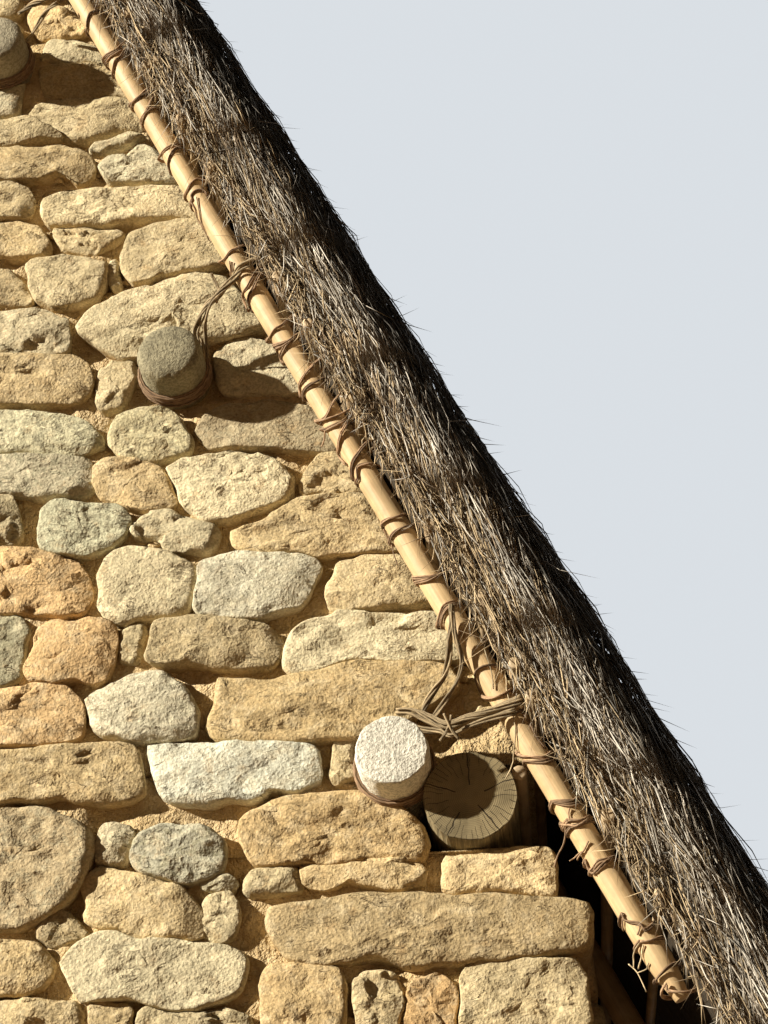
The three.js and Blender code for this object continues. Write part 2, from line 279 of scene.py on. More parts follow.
class Surface:
    """Gathers many closed shapes into one mesh. Each point has a tint (red, green, blue and lichen), a trait
    from 0 to 1, and local coordinates that its pattern follows."""

    def __init__(self):
        self.points, self.tints, self.traits, self.locals, self.faces = [], [], [], [], []
        self.count = 0

    def add(self, points, faces, tint, trait=0.0, local=None):
        """Copies of one shape: points (copies, n, 3), the faces of one copy, and the rest for each copy or for
        each point."""
        points = np.asarray(points, float)
        if points.ndim == 2:
            points = points[None]
        copies, size = points.shape[:2]
        tint, trait = np.asarray(tint, float), np.asarray(trait, float)
        if tint.ndim == 2:
            tint = tint[:, None]
        if trait.ndim == 1:
            trait = trait[:, None]
        local = points if local is None else np.asarray(local, float)
        self.points.append(points.reshape(-1, 3))
        self.tints.append(np.broadcast_to(tint, (copies, size, 4)).reshape(-1, 4))
        self.traits.append(np.broadcast_to(trait, (copies, size)).reshape(-1))
        self.locals.append(np.broadcast_to(local, (copies, size, 3)).reshape(-1, 3))
        offset = self.count + size * np.arange(copies)[:, None, None]
        self.faces += [(array[None] + offset).reshape(-1, array.shape[1]) for array in faces]
        self.count += copies * size

    def build(self, name, material, slot, nodes=()):
        """Writes the mesh, gives it its material, and hides the parts of the frame that it stands in for."""
        mesh = bpy.data.meshes.new(name)
        corners = np.concatenate([a.reshape(-1) for a in self.faces]).astype(np.int32)
        counts = np.concatenate([np.full(len(a), a.shape[1], np.int32) for a in self.faces])
        starts = np.concatenate([[0], np.cumsum(counts)[:-1]]).astype(np.int32)
        mesh.vertices.add(self.count)
        mesh.vertices.foreach_set("co", np.concatenate(self.points).astype(np.float32).reshape(-1))
        mesh.loops.add(len(corners))
        mesh.loops.foreach_set("vertex_index", corners)
        mesh.polygons.add(len(counts))
        mesh.polygons.foreach_set("loop_start", starts)
        mesh.polygons.foreach_set("use_smooth", np.ones(len(counts), bool))
        mesh.update(calc_edges=True)
        tint = mesh.attributes.new("tint", "FLOAT_COLOR", "POINT")
        tint.data.foreach_set("color", np.concatenate(self.tints).astype(np.float32).reshape(-1))
        trait = mesh.attributes.new("trait", "FLOAT", "POINT")
        trait.data.foreach_set("value", np.concatenate(self.traits).astype(np.float32))
        local = mesh.attributes.new("local", "FLOAT_VECTOR", "POINT")
        local.data.foreach_set("vector", np.concatenate(self.locals).astype(np.float32).reshape(-1))
        mesh.materials.append(material)
        piece = bpy.data.objects.new(name, mesh)
        bpy.context.scene.collection.objects.link(piece)
        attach(piece, "root")
        if nodes:
            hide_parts(*nodes)


# Finishes


class Finish:
    """A material with one shader, and short ways to add its nodes."""

    def __init__(self, name, roughness, specular):
        self.material = bpy.data.materials.new(name)
        self.material.use_nodes = True
        self.tree = self.material.node_tree
        self.shader = self.tree.nodes["Principled BSDF"]
        self.shader.inputs["Roughness"].default_value = roughness
        self.shader.inputs["Specular IOR Level"].default_value = specular
        self.normal = None

    def node(self, kind, inputs, **settings):
        made = self.tree.nodes.new("ShaderNode" + kind)
        for key, value in settings.items():
            setattr(made, key, value)
        for socket, value in dict(inputs).items():
            self.set(made.inputs[socket], value)
        return made.outputs

    def set(self, socket, value):
        if isinstance(value, bpy.types.NodeSocket):
            self.tree.links.new(value, socket)
        else:
            socket.default_value = value

    def read(self):
        """What the points of a mesh carry: local coordinates, tint, and trait."""
        local, tint, trait = (self.node("Attribute", (), attribute_name=name) for name in ("local", "tint", "trait"))
        return local["Vector"], tint, trait["Fac"]

    def stretched(self, vector, scale):
        return self.node("Mapping", {"Vector": vector, "Scale": scale, "Location": (0, 0, 0)})[0]

    def noise(self, vector, scale, detail, roughness=0.55, distortion=0.0):
        """Layered noise. Three scales stretch it."""
        if isinstance(scale, tuple):
            vector, scale = self.stretched(vector, scale), 1.0
        return self.node("TexNoise", {"Vector": vector, "Scale": scale, "Detail": detail, "Roughness": roughness,
                                      "Distortion": distortion})[0]

    def vectors(self, operation, *values):
        return self.node("VectorMath", enumerate(values), operation=operation)

    def ledges(self, vector, scale):
        """Uneven cells, each a small plane with a height and a slant of its own: the way from the cell's middle,
        times the cell's own random vector, plus its random height."""
        place = self.stretched(vector, scale)
        cell = self.node("TexVoronoi", {"Vector": place, "Scale": 1.0})
        way = self.vectors("SUBTRACT", place, cell["Position"])[0]
        code = self.vectors("SUBTRACT", cell["Color"], (0.5, 0.5, 0.5))[0]
        slant = self.vectors("DOT_PRODUCT", way, code)["Value"]
        return self.maths("ADD", self.times(slant, 1.6), self.node("SeparateXYZ", {0: code})[0])

    def span(self, value, low, high, to_low=0.0, to_high=1.0):
        """Maps low..high smoothly to to_low..to_high and holds it there beyond."""
        inputs = enumerate((value, low, high, to_low, to_high))
        return self.node("MapRange", inputs, interpolation_type="SMOOTHSTEP")[0]

    def maths(self, operation, *values):
        return self.node("Math", enumerate(values), operation=operation)[0]

    def times(self, first, second):
        return self.maths("MULTIPLY", first, second)

    def mix(self, share, first, second, blend="MIX"):
        colours = [(*c, 1.0) if isinstance(c, tuple) else c for c in (first, second)]
        return self.node("Mix", {0: share, 6: colours[0], 7: colours[1]}, data_type="RGBA", blend_type=blend)[2]

    def stained(self, colour, value, low, high, share, stain):
        """A stain over the colour, up to share of it as value goes from low to high."""
        return self.mix(self.span(value, low, high, 0.0, share), colour, stain)

    def mottled(self, colour, value, low, high, dark, light, share=1.0):
        """The colour times a grey that goes from dark to light as value goes from low to high."""
        grey = self.span(value, low, high, dark, light)
        return self.mix(share, colour, self.node("CombineColor", {0: grey, 1: grey, 2: grey})[0], "MULTIPLY")

    def bump(self, height, distance, strength=1.0):
        """Relief on top of the relief so far."""
        inputs = {"Height": height, "Distance": distance, "Strength": strength}
        if self.normal:
            inputs["Normal"] = self.normal
        self.normal = self.node("Bump", inputs)[0]

    def finish(self, colour):
        self.set(self.shader.inputs["Base Color"], colour)
        if self.normal:
            self.set(self.shader.inputs["Normal"], self.normal)
        return self.material


def fieldstone():
    """Weathered stone: the tint, mottled at three scales, with ochre stains, grey lichen, a sandy grain, broken
    ledges and thin cracks along the bedding, and a dark brown on the sides that run into the joint, part mud stain
    and part painted shade."""
    f = Finish("fieldstone", 0.95, 0.12)
    place, tint, trait = f.read()
    grain = f.noise(place, 150.0, 1.5, 0.6)
    warp = f.node("TexNoise", {"Vector": place, "Scale": 16.0, "Detail": 4.0})["Color"]
    bent = f.vectors("MULTIPLY_ADD", warp, (0.05, 0.05, 0.05), place)[0]
    rough_part = f.span(f.noise(place, 9.0, 3.0), 0.40, 0.60, 0.12, 1.0)
    seams = f.noise(bent, (7.0, 46.0, 7.0), 3.0, 0.5, 0.3)
    cracks = f.span(f.maths("ABSOLUTE", f.maths("SUBTRACT", seams, 0.5)), 0.0, 0.010, 1.0, 0.0)
    cracks = f.times(cracks, f.span(f.noise(place, 11.0, 2.0), 0.56, 0.64))
    colour = f.mottled(tint["Color"], f.noise(place, 6.0, 4.0, 0.6), 0.3, 0.7, 0.84, 1.12)
    colour = f.stained(colour, f.noise(place, 26.0, 4.0, 0.65), 0.45, 0.66, 0.36, (0.66, 0.56, 0.38))
    colour = f.stained(colour, f.noise(place, 19.0, 5.0, 0.7), 0.54, 0.70, 0.42, (0.46, 0.30, 0.14))
    specks = f.span(f.noise(place, 40.0, 4.0, 0.75), 0.50, 0.60)
    colour = f.mix(f.times(specks, tint["Alpha"]), colour, (0.40, 0.37, 0.255))
    colour = f.mottled(colour, grain, 0.34, 0.66, 0.70, 1.18, 0.7)
    colour = f.mix(f.times(cracks, 0.5), colour, (0.22, 0.14, 0.07))
    # Dark brown on the rim and the sides, where the trait is high: part mud stain, part painted shade in the joints.
    colour = f.stained(colour, trait, 0.2, 0.8, 0.7, (0.40, 0.27, 0.13))
    f.bump(f.times(f.ledges(bent, (17.0, 34.0, 17.0)), rough_part), 0.010)
    f.bump(f.times(f.ledges(bent, (52.0, 90.0, 52.0)), rough_part), 0.0020)
    f.bump(f.noise(place, 50.0, 2.5, 0.6), 0.0036)
    f.bump(grain, 0.0028)
    f.bump(f.times(cracks, -1.0), 0.0035)
    return f.finish(colour)


def mud():
    """Earth mortar: ochre clay with pale grit and dark cracks."""
    f = Finish("mud_mortar", 0.97, 0.1)
    place = f.node("TexCoord", ())["Object"]
    clods = f.noise(place, 38.0, 3.5, 0.7)
    grit = f.noise(place, 150.0, 1.5, 0.6)
    colour = f.mix(f.span(f.noise(place, 5.0, 4.0), 0.35, 0.65), (0.52, 0.385, 0.205), (0.61, 0.47, 0.28))
    colour = f.stained(colour, clods, 0.45, 0.68, 0.45, (0.38, 0.25, 0.12))
    colour = f.stained(colour, grit, 0.56, 0.70, 0.4, (0.68, 0.58, 0.40))
    f.bump(clods, 0.022)
    f.bump(grit, 0.0034, 0.9)
    return f.finish(colour)


def peg_stone():
    """Pecked stone: the tint with close dark speckle and a rough, hammered grain."""
    f = Finish("pecked_stone", 0.95, 0.2)
    place, tint, trait = f.read()
    speckle = f.noise(place, 130.0, 2.5, 0.7)
    colour = f.mottled(tint["Color"], f.noise(place, 14.0, 5.0, 0.6), 0.3, 0.7, 0.8, 1.12)
    colour = f.mottled(colour, speckle, 0.38, 0.60, 0.62, 1.12, 0.8)
    colour = f.stained(colour, trait, 0.0, 1.0, 0.8, (0.52, 0.38, 0.20))
    f.bump(speckle, 0.0050, 0.9)
    f.bump(f.noise(place, 45.0, 6.0, 0.7), 0.006, 0.6)
    return f.finish(colour)


def peeled_pole():
    """Peeled wood: pale tan with long grain, darker streaks and stains, and dark knots where the trait is high."""
    f = Finish("peeled_pole", 0.55, 0.35)
    place, tint, trait = f.read()
    grain = f.noise(place, (160.0, 160.0, 6.0), 5.0, 0.6, 0.4)
    streaks = f.noise(place, (50.0, 50.0, 2.2), 4.0, 0.6, 1.2)
    stains = f.noise(place, (34.0, 34.0, 15.0), 3.0, 0.65, 0.6)
    colour = f.mottled(tint["Color"], f.noise(place, 13.0, 4.0, 0.6), 0.3, 0.7, 0.80, 1.12)
    colour = f.stained(colour, stains, 0.56, 0.70, 0.45, (0.40, 0.25, 0.115))
    colour = f.stained(colour, streaks, 0.50, 0.70, 0.30, (0.50, 0.29, 0.12))
    colour = f.mottled(colour, grain, 0.35, 0.65, 0.78, 1.08, 0.6)
    colour = f.stained(colour, trait, 0.2, 1.0, 0.85, (0.20, 0.10, 0.04))
    f.bump(grain, 0.0016, 0.5)
    f.bump(streaks, 0.003, 0.2)
    return f.finish(colour)


def log_wood():
    """Old timber: grey-brown and split along the grain on its length. Its sawn end, where the trait is 1, has
    growth rings, fine radial splits all round the rim and a few long ones from the heart."""
    f = Finish("log_wood", 0.85, 0.2)
    place, tint, trait = f.read()
    across, up = f.node("SeparateXYZ", {"Vector": place})[:2]
    warp = f.noise(place, 9.0, 4.0, 0.6)
    radius = f.maths("SQRT", f.maths("ADD", f.times(across, across), f.times(up, up)))
    rings = f.maths("SINE", f.times(f.maths("ADD", radius, f.times(warp, 0.012)), 1500.0))
    angle = f.maths("ADD", f.maths("ARCTAN2", up, across), f.times(warp, 0.5))

    def splits(number, width, start, seed):
        """Thin dark lines at even angles, kept where a noise over the angle lets them reach in."""
        lanes = f.times(angle, number / (2 * math.pi))
        off = f.maths("ABSOLUTE", f.maths("SUBTRACT", f.maths("FRACT", lanes), 0.5))
        line = f.span(f.times(f.times(off, radius), 2 * math.pi / number), width * 0.4, width, 1.0, 0.0)
        lane = f.maths("ADD", f.maths("FLOOR", lanes), seed)
        code = f.node("TexWhiteNoise", {"W": lane}, noise_dimensions="1D")["Value"]
        inner = f.maths("MULTIPLY_ADD", code, 0.05, start)
        return f.times(line, f.maths("GREATER_THAN", radius, inner))

    cracks = f.times(f.maths("MAXIMUM", splits(46, 0.0007, 0.050, 3.0), splits(5, 0.0017, 0.0, 8.0)), trait)
    long_grain = f.noise(place, (90.0, 90.0, 5.0), 3.0, 0.65, 0.6)
    colour = f.mottled(tint["Color"], warp, 0.3, 0.7, 0.62, 1.2)
    on_side = f.mottled(colour, long_grain, 0.38, 0.62, 0.45, 1.1, 0.9)
    on_end = f.mottled(colour, rings, -1.0, 1.0, 0.7, 1.1, 0.6)
    colour = f.mix(f.times(cracks, 0.9), f.mix(trait, on_side, on_end), (0.035, 0.025, 0.015))
    f.bump(f.times(long_grain, f.maths("SUBTRACT", 1.0, trait)), 0.008, 0.7)
    f.bump(f.times(cracks, -1.0), 0.004, 0.9)
    f.bump(rings, 0.0004, 0.4)
    return f.finish(colour)


def straw():
    """Dry grass: the tint, with painted shade darkening it towards the root, where it lies under other straws, and
    streaked along its length.
    """
    f = Finish("dry_straw", 0.62, 0.35)
    place, tint, trait = f.read()
    streak = f.noise(place, 60.0, 3.0)
    f.bump(streak, 0.001, 0.4)
    # Painted shade: darker towards the root, where the straw lies under the straws above.
    base = f.mottled(tint["Color"], trait, 0.0, 0.6, 0.55, 1.05)
    return f.finish(f.mottled(base, streak, 0.3, 0.7, 0.72, 1.15, 0.7))


def packed_thatch():
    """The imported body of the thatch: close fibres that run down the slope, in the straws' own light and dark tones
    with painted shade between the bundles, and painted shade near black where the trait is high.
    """
    f = Finish("packed_thatch", 0.85, 0.2)
    place, tint, trait = f.read()
    fibres = f.noise(place, (5.0, 260.0, 260.0), 5.0, 0.65, 0.8)
    bundles = f.noise(place, (2.5, 34.0, 34.0), 4.0, 0.6, 0.5)
    # Darker between the fibres and the bundles: the straws' own tones and painted shade in the gaps.
    colour = f.mottled(tint["Color"], fibres, 0.36, 0.62, 0.25, 1.25)
    colour = f.mottled(colour, bundles, 0.34, 0.62, 0.5, 1.15, 0.8)
    # Painted shade: near black where the trait is high, deep in the thatch and at the verge's edges.
    colour = f.stained(colour, trait, 0.3, 1.0, 0.9, (0.035, 0.025, 0.015))
    f.bump(bundles, 0.03, 0.8)
    f.bump(fibres, 0.008, 0.9)
    return f.finish(colour)


def rope():
    """Grass rope: the tint, with painted shade in dark lines between the twisted fibres."""
    f = Finish("grass_rope", 0.75, 0.25)
    place, tint, _ = f.read()
    twist = f.noise(place, (420.0, 420.0, 45.0), 3.0, 0.6, 1.0)
    f.bump(twist, 0.0015, 0.8)
    # Painted shade in the dark lines between the twisted fibres.
    return f.finish(f.mottled(tint["Color"], twist, 0.36, 0.60, 0.42, 1.15))


STONE, MUD, PEG, POLE, LOG = fieldstone(), mud(), peg_stone(), peeled_pole(), log_wood()
STRAW, THATCH, ROPE = straw(), packed_thatch(), rope()


# Stones

# The dry colour of a stone's face
TONES = {
    "tan": (0.53, 0.425, 0.25),
    "ochre": (0.57, 0.43, 0.235),
    "orange": (0.575, 0.405, 0.215),
    "cream": (0.59, 0.51, 0.335),
    "white": (0.60, 0.55, 0.41),
    "grey": (0.53, 0.465, 0.32),
    "green": (0.51, 0.465, 0.305),
    "dark": (0.44, 0.34, 0.20),
}
TONE_SHARES = {
    "tan": 0.38, "ochre": 0.16, "orange": 0.08, "cream": 0.16, "white": 0.05, "grey": 0.09, "green": 0.05,
    "dark": 0.03,
}
LICHEN = {"grey": 0.75, "green": 0.8, "white": 0.45, "cream": 0.25, "tan": 0.12, "dark": 0.4}

# The stones that the photograph shows: tone, how far the face stands out in millimetres, and the outline in
# pixels, across and down by turns. Ends that the photograph cuts off or hides are carried on.
SHOWN_STONES = (
    ("ochre", 8, 32, 6, 60, 2, 84, 18, 90, 32, 62, 36, 38, 34, 28, 20),
    ("tan", 0, 38, 66, 60, 62, 110, 64, 134, 82, 140, 93, 110, 96, 90, 97, 44, 97),
    ("tan", -4, 46, 40, 75, 38, 106, 54, 112, 63, 62, 61, 40, 60),
    ("tan", 2, 25, 113, 42, 98, 130, 97, 148, 118, 142, 129, 118, 130, 85, 141, 60, 136, 45, 122),
    ("cream", 14, 88, 148, 92, 143, 130, 130, 146, 133, 128, 143, 100, 151),
    ("tan", 20, -44, 124, 0, 121, 22, 116, 36, 118, 50, 126, 62, 134, 44, 135, 20, 142, -30, 146, -48, 138),
    ("tan", 18, -26, 148, 16, 145, 30, 148, 60, 145, 80, 150, 92, 158, 94, 170, 88, 178, 76, 180, 66, 170, 34, 176,
     -24, 178, -34, 164),
    ("cream", 22, 97, 165, 110, 154, 124, 154, 138, 141, 156, 146, 176, 160, 180, 178, 150, 181, 106, 179),
    ("tan", 10, -58, 184, 14, 181, 28, 188, 33, 200, 30, 214, -48, 216, -64, 200),
    ("tan", 25, 41, 198, 52, 193, 84, 188, 112, 189, 150, 185, 186, 184, 202, 198, 206, 213, 160, 216, 135, 218, 105,
     221, 62, 222, 46, 221, 41, 212),
    ("tan", 8, -30, 222, 20, 221, 38, 224, 45, 232, 52, 248, 40, 254, -24, 256, -38, 238),
    ("tan", 12, 52, 228, 72, 227, 98, 229, 118, 230, 124, 234, 112, 245, 100, 251, 80, 251, 62, 247, 56, 238),
    ("tan", 28, 120, 256, 124, 243, 128, 231, 150, 224, 184, 219, 204, 219, 222, 238, 236, 254, 222, 264, 185, 268,
     165, 272, 145, 278, 130, 279, 122, 268),
    ("ochre", 5, -60, 268, 6, 268, 16, 275, 27, 288, 34, 302, -56, 304, -70, 288),
    ("cream", 26, 26, 264, 36, 257, 66, 253, 98, 258, 107, 262, 105, 280, 96, 295, 80, 302, 50, 303, 34, 296, 28,
     283),
    ("cream", 10, 108, 258, 116, 257, 120, 275, 119, 289, 112, 288, 108, 276),
    ("cream", 30, 75, 325, 86, 311, 110, 298, 124, 291, 150, 284, 172, 275, 196, 270, 224, 272, 246, 294, 268, 318,
     250, 328, 212, 335, 190, 345, 150, 352, 118, 353, 98, 343, 86, 334),
    ("grey", 14, -28, 310, 30, 308, 55, 314, 68, 321, 70, 335, 66, 350, 50, 352, -24, 352, -36, 330),
    ("grey", 6, 222, 342, 232, 335, 256, 336, 276, 343, 296, 364, 310, 384, 300, 391, 262, 392, 240, 393, 222, 390,
     214, 370, 212, 352),
    ("ochre", 22, -74, 358, 20, 353, 75, 355, 88, 362, 94, 378, 88, 392, 70, 402, -70, 400, -84, 380),
    ("tan", 12, 100, 372, 112, 359, 128, 360, 136, 368, 130, 388, 120, 408, 104, 413, 96, 405, 97, 388),
    ("green", 18, -34, 412, 8, 409, 40, 412, 72, 417, 92, 426, 104, 437, 103, 444, 88, 452, 60, 453, 20, 449, -32,
     447, -44, 430),
    ("green", 22, 108, 434, 114, 414, 140, 407, 156, 404, 172, 412, 184, 422, 192, 436, 190, 450, 170, 455, 140, 458,
     118, 452, 110, 444),
    ("dark", 4, 196, 432, 204, 416, 228, 403, 262, 401, 284, 400, 310, 405, 336, 424, 346, 440, 336, 451, 284, 448,
     250, 446, 222, 446, 205, 446),
    ("grey", 16, -60, 454, 20, 452, 60, 454, 84, 456, 92, 462, 94, 485, 84, 492, 50, 494, -54, 492, -70, 474),
    ("ochre", 18, 94, 468, 102, 458, 124, 455, 148, 459, 160, 465, 168, 480, 175, 500, 168, 507, 145, 507, 120, 502,
     98, 494, 92, 480),
    ("cream", 26, 164, 466, 180, 459, 205, 455, 225, 449, 245, 447, 262, 452, 282, 461, 293, 475, 293, 490, 280, 500,
     255, 508, 228, 517, 205, 520, 190, 508, 180, 498, 176, 482),
    ("tan", 10, 303, 475, 312, 462, 322, 452, 340, 450, 358, 460, 372, 478, 380, 489, 352, 492, 320, 494, 304, 496,
     301, 485),
    ("tan", 10, -32, 496, 10, 493, 16, 505, 20, 530, 14, 542, -28, 543, -40, 520),
    ("green", 22, 41, 508, 52, 500, 64, 498, 84, 503, 108, 502, 124, 506, 130, 517, 126, 530, 112, 541, 98, 548, 80,
     553, 52, 551, 38, 545, 38, 530, 40, 518),
    ("cream", 16, 130, 530, 138, 517, 146, 510, 166, 508, 180, 515, 200, 519, 212, 522, 219, 532, 214, 544, 205, 549,
     178, 549, 164, 546, 160, 535, 135, 535),
    ("tan", 24, 229, 531, 244, 526, 262, 521, 276, 514, 290, 504, 306, 498, 345, 494, 366, 494, 382, 508, 396, 528,
     412, 546, 392, 550, 345, 552, 318, 553, 292, 549, 260, 549, 240, 545, 230, 540),
    ("orange", 14, -66, 548, 28, 545, 52, 555, 80, 560, 88, 575, 90, 597, 80, 612, 50, 613, -60, 610, -78, 580),
    ("cream", 20, 98, 575, 102, 560, 114, 548, 128, 546, 166, 548, 178, 555, 193, 563, 196, 575, 190, 605, 176, 613,
     150, 617, 122, 622, 104, 614, 97, 600),
    ("white", 26, 198, 562, 215, 556, 240, 551, 265, 553, 290, 553, 317, 557, 320, 562, 316, 577, 310, 592, 300, 603,
     280, 610, 258, 615, 225, 614, 200, 613, 192, 606, 196, 590),
    ("tan", 18, 326, 594, 330, 582, 337, 570, 340, 560, 352, 558, 366, 553, 394, 551, 412, 564, 434, 586, 440, 597,
     410, 602, 380, 604, 360, 606, 340, 609, 330, 606),
    ("green", 12, -30, 617, 22, 616, 28, 625, 24, 650, 20, 675, 8, 684, -24, 686, -38, 650),
    ("orange", 20, 36, 625, 52, 618, 100, 617, 114, 623, 118, 640, 113, 655, 104, 677, 92, 682, 80, 678, 55, 680, 30,
     680, 23, 668, 34, 645),
    ("tan", 6, 121, 628, 128, 624, 142, 624, 146, 632, 140, 650, 136, 660, 118, 661, 120, 645),
    ("tan", 24, 146, 655, 151, 638, 152, 622, 178, 616, 232, 617, 262, 623, 276, 630, 282, 640, 281, 655, 270, 662,
     245, 666, 215, 664, 190, 660, 165, 662, 150, 660),
    ("cream", 22, 287, 635, 296, 626, 307, 617, 332, 614, 336, 608, 370, 612, 440, 612, 462, 632, 466, 656, 430, 659,
     400, 660, 370, 658, 340, 660, 316, 668, 292, 670, 282, 666, 284, 650),
    ("orange", 16, -84, 692, 20, 684, 62, 682, 80, 700, 83, 718, 82, 732, 66, 738, 40, 742, -78, 746, -94, 716),
    ("white", 20, 81, 698, 90, 690, 110, 683, 130, 672, 150, 667, 168, 670, 184, 682, 193, 698, 197, 720, 194, 734,
     170, 738, 140, 738, 100, 735, 92, 722),
    ("tan", 26, 216, 675, 240, 676, 270, 678, 280, 672, 310, 668, 350, 661, 400, 661, 446, 663, 462, 684, 440, 696,
     412, 715, 402, 722, 370, 722, 362, 736, 300, 738, 250, 738, 215, 735, 203, 725, 206, 712, 214, 700),
    ("tan", -6, 470, 668, 496, 668, 520, 690, 504, 712, 478, 716, 462, 700),
    ("tan", 20, -30, 751, 24, 750, 50, 746, 100, 742, 134, 743, 138, 752, 142, 772, 142, 790, 132, 796, 110, 800, 80,
     800, 60, 796, 45, 800, -24, 800, -38, 776),
    ("white", 22, 144, 745, 160, 741, 200, 740, 250, 739, 300, 740, 318, 746, 318, 760, 322, 778, 300, 788, 268, 787,
     262, 796, 235, 799, 200, 800, 170, 799, 160, 795, 152, 775, 148, 755),
    ("tan", 8, 334, 742, 345, 739, 350, 742, 350, 758, 356, 770, 360, 776, 350, 778, 335, 785, 330, 775, 332, 760),
    ("dark", 24, -50, 808, 40, 806, 70, 818, 84, 826, 92, 840, 90, 855, 84, 870, 80, 885, 62, 905, 45, 915, 20, 927,
     -44, 930, -62, 870),
    ("grey", 8, 94, 842, 100, 828, 112, 824, 130, 828, 136, 836, 130, 852, 126, 862, 108, 864, 95, 862),
    ("grey", 26, 136, 840, 142, 832, 160, 823, 185, 821, 210, 826, 222, 838, 226, 855, 222, 868, 205, 875, 185, 883,
     175, 882, 160, 876, 140, 868, 130, 860),
    ("ochre", 28, 237, 833, 242, 817, 258, 806, 272, 800, 290, 795, 340, 791, 365, 793, 388, 797, 400, 801, 412, 814,
     424, 822, 428, 840, 424, 858, 400, 858, 350, 860, 300, 862, 262, 863, 250, 860, 243, 845),
    ("tan", 14, 80, 885, 88, 872, 96, 866, 125, 870, 140, 872, 160, 882, 180, 887, 192, 898, 202, 910, 204, 935, 190,
     938, 150, 939, 130, 935, 110, 926, 88, 920, 80, 915, 82, 900),
    ("tan", 6, 203, 905, 210, 895, 228, 890, 236, 900, 238, 920, 232, 938, 212, 940, 203, 935),
    ("cream", 10, 200, 880, 215, 875, 230, 876, 237, 882, 232, 890, 212, 889, 203, 886),
    ("tan", 12, 242, 878, 250, 867, 270, 864, 296, 866, 300, 878, 304, 884, 300, 889, 270, 893, 250, 895, 243, 890),
    ("ochre", 16, 300, 868, 318, 866, 345, 864, 380, 860, 405, 858, 420, 861, 426, 872, 422, 884, 400, 888, 375, 884,
     360, 880, 345, 878, 335, 884, 322, 886, 312, 884, 303, 880),
    ("tan", 6, 32, 932, 48, 914, 62, 909, 74, 918, 90, 934, 76, 942, 62, 946, 45, 942, 36, 938),
    ("tan", 20, -46, 942, 25, 940, 44, 948, 52, 962, 48, 975, 40, 985, 20, 993, -42, 996, -58, 968),
    ("cream", 24, 60, 965, 68, 950, 85, 940, 98, 932, 115, 932, 130, 938, 200, 941, 225, 942, 240, 950, 246, 962,
     242, 975, 238, 988, 225, 998, 205, 1003, 195, 1008, 170, 1008, 150, 1003, 130, 996, 105, 997, 80, 998, 70, 985),
    ("ochre", 14, 258, 985, 264, 963, 300, 961, 340, 968, 346, 990, 340, 1036, 262, 1038),
    ("tan", 12, 352, 985, 362, 972, 398, 970, 402, 1000, 396, 1036, 356, 1037),
    ("orange", 10, 406, 990, 414, 976, 445, 974, 456, 985, 456, 1036, 406, 1037),
    ("tan", 16, -36, 1002, 30, 998, 60, 1000, 72, 997, 80, 1005, 85, 1036, -30, 1038, -46, 1020),
    ("tan", 12, 88, 1005, 100, 1000, 125, 1003, 131, 1012, 131, 1036, 92, 1038),
    ("tan", 16, 137, 1012, 145, 1006, 170, 1013, 200, 1013, 225, 1007, 248, 1012, 252, 1036, 137, 1038),
)
# Stones of the photographed corner, which run deep into the wall and show their end on the side wall
SHOWN_CORNER_STONES = (
    ("ochre", 20, 441, 865, 445, 857, 478, 853, 520, 848, 550, 846, 556, 856, 555, 888, 553, 896, 525, 892, 500, 891,
     480, 893, 443, 889),
    ("ochre", 26, 263, 916, 266, 905, 285, 903, 305, 900, 330, 894, 360, 891, 400, 893, 440, 893, 480, 893, 520, 896,
     560, 897, 582, 899, 590, 905, 592, 940, 584, 949, 560, 950, 525, 955, 500, 957, 470, 959, 430, 963, 405, 964,
     395, 958, 370, 955, 350, 960, 325, 962, 300, 960, 282, 950, 270, 935),
    ("tan", 14, 461, 975, 470, 964, 520, 960, 575, 960, 588, 975, 590, 1036, 463, 1038),
)
SHOWN_GROWTH = 0.0045


def smooth_outline(points, count, growth=0.0):
    """A closed outline whose corners are cut twice, first an eighth and then a fifth of the way along each side,
    which is then divided into even steps, set to run anticlockwise, and moved outwards by growth."""
    points = np.asarray(points, float)
    for part in (0.125, 0.2):
        ahead = np.roll(points, -1, 0)
        points = np.stack([points * (1 - part) + ahead * part, points * part + ahead * (1 - part)], 1).reshape(-1, 2)
    ahead = np.roll(points, -1, 0)
    if np.sum(points[:, 0] * ahead[:, 1] - points[:, 1] * ahead[:, 0]) < 0:
        points = points[::-1]
    closed = np.vstack([points, points[:1]])
    run = np.concatenate([[0], np.cumsum(np.linalg.norm(np.diff(closed, axis=0), axis=1))])
    even = np.linspace(0, run[-1], count, endpoint=False)
    points = stacked(*(np.interp(even, run, values) for values in closed.T))
    tangent = unit(np.roll(points, -2, 0) - np.roll(points, 2, 0))
    return points + growth * tangent[:, ::-1] * (1, -1)


def broken(place, seed):
    """Broken stone: the plane is parted into uneven cells, each round the nearest of a grid of scattered
    centres, and each cell is a small plane with a height and a slant of its own."""
    corner = np.floor(place)
    nearest = np.full(place.shape[:-1], 9.0)
    height = np.zeros(place.shape[:-1])
    for shift in np.ndindex(3, 3):
        cell = corner + (*(np.array(shift) - 1), 0)
        code = [hashed(cell, seed + part) for part in range(5)]
        offset_x = place[..., 0] - cell[..., 0] - 0.5 - 0.42 * code[0]
        offset_y = place[..., 1] - cell[..., 1] - 0.5 - 0.42 * code[1]
        distance = offset_x**2 + offset_y**2
        plane = code[2] + 0.9 * code[3] * offset_x + 0.9 * code[4] * offset_y
        height = np.where(distance < nearest, plane, height)
        nearest = np.minimum(distance, nearest)
    return height


def stone_faces(rings, columns):
    """A centre point, rings that grow to the outline and run back into the wall, and a many-sided back."""
    back = 1 + (rings - 1) * columns + np.arange(columns)
    return [
        fan_faces(0, 1 + np.arange(columns)),
        ring_faces(rings, columns)[:, ::-1] + 1,
        back[None, ::-1],
    ]


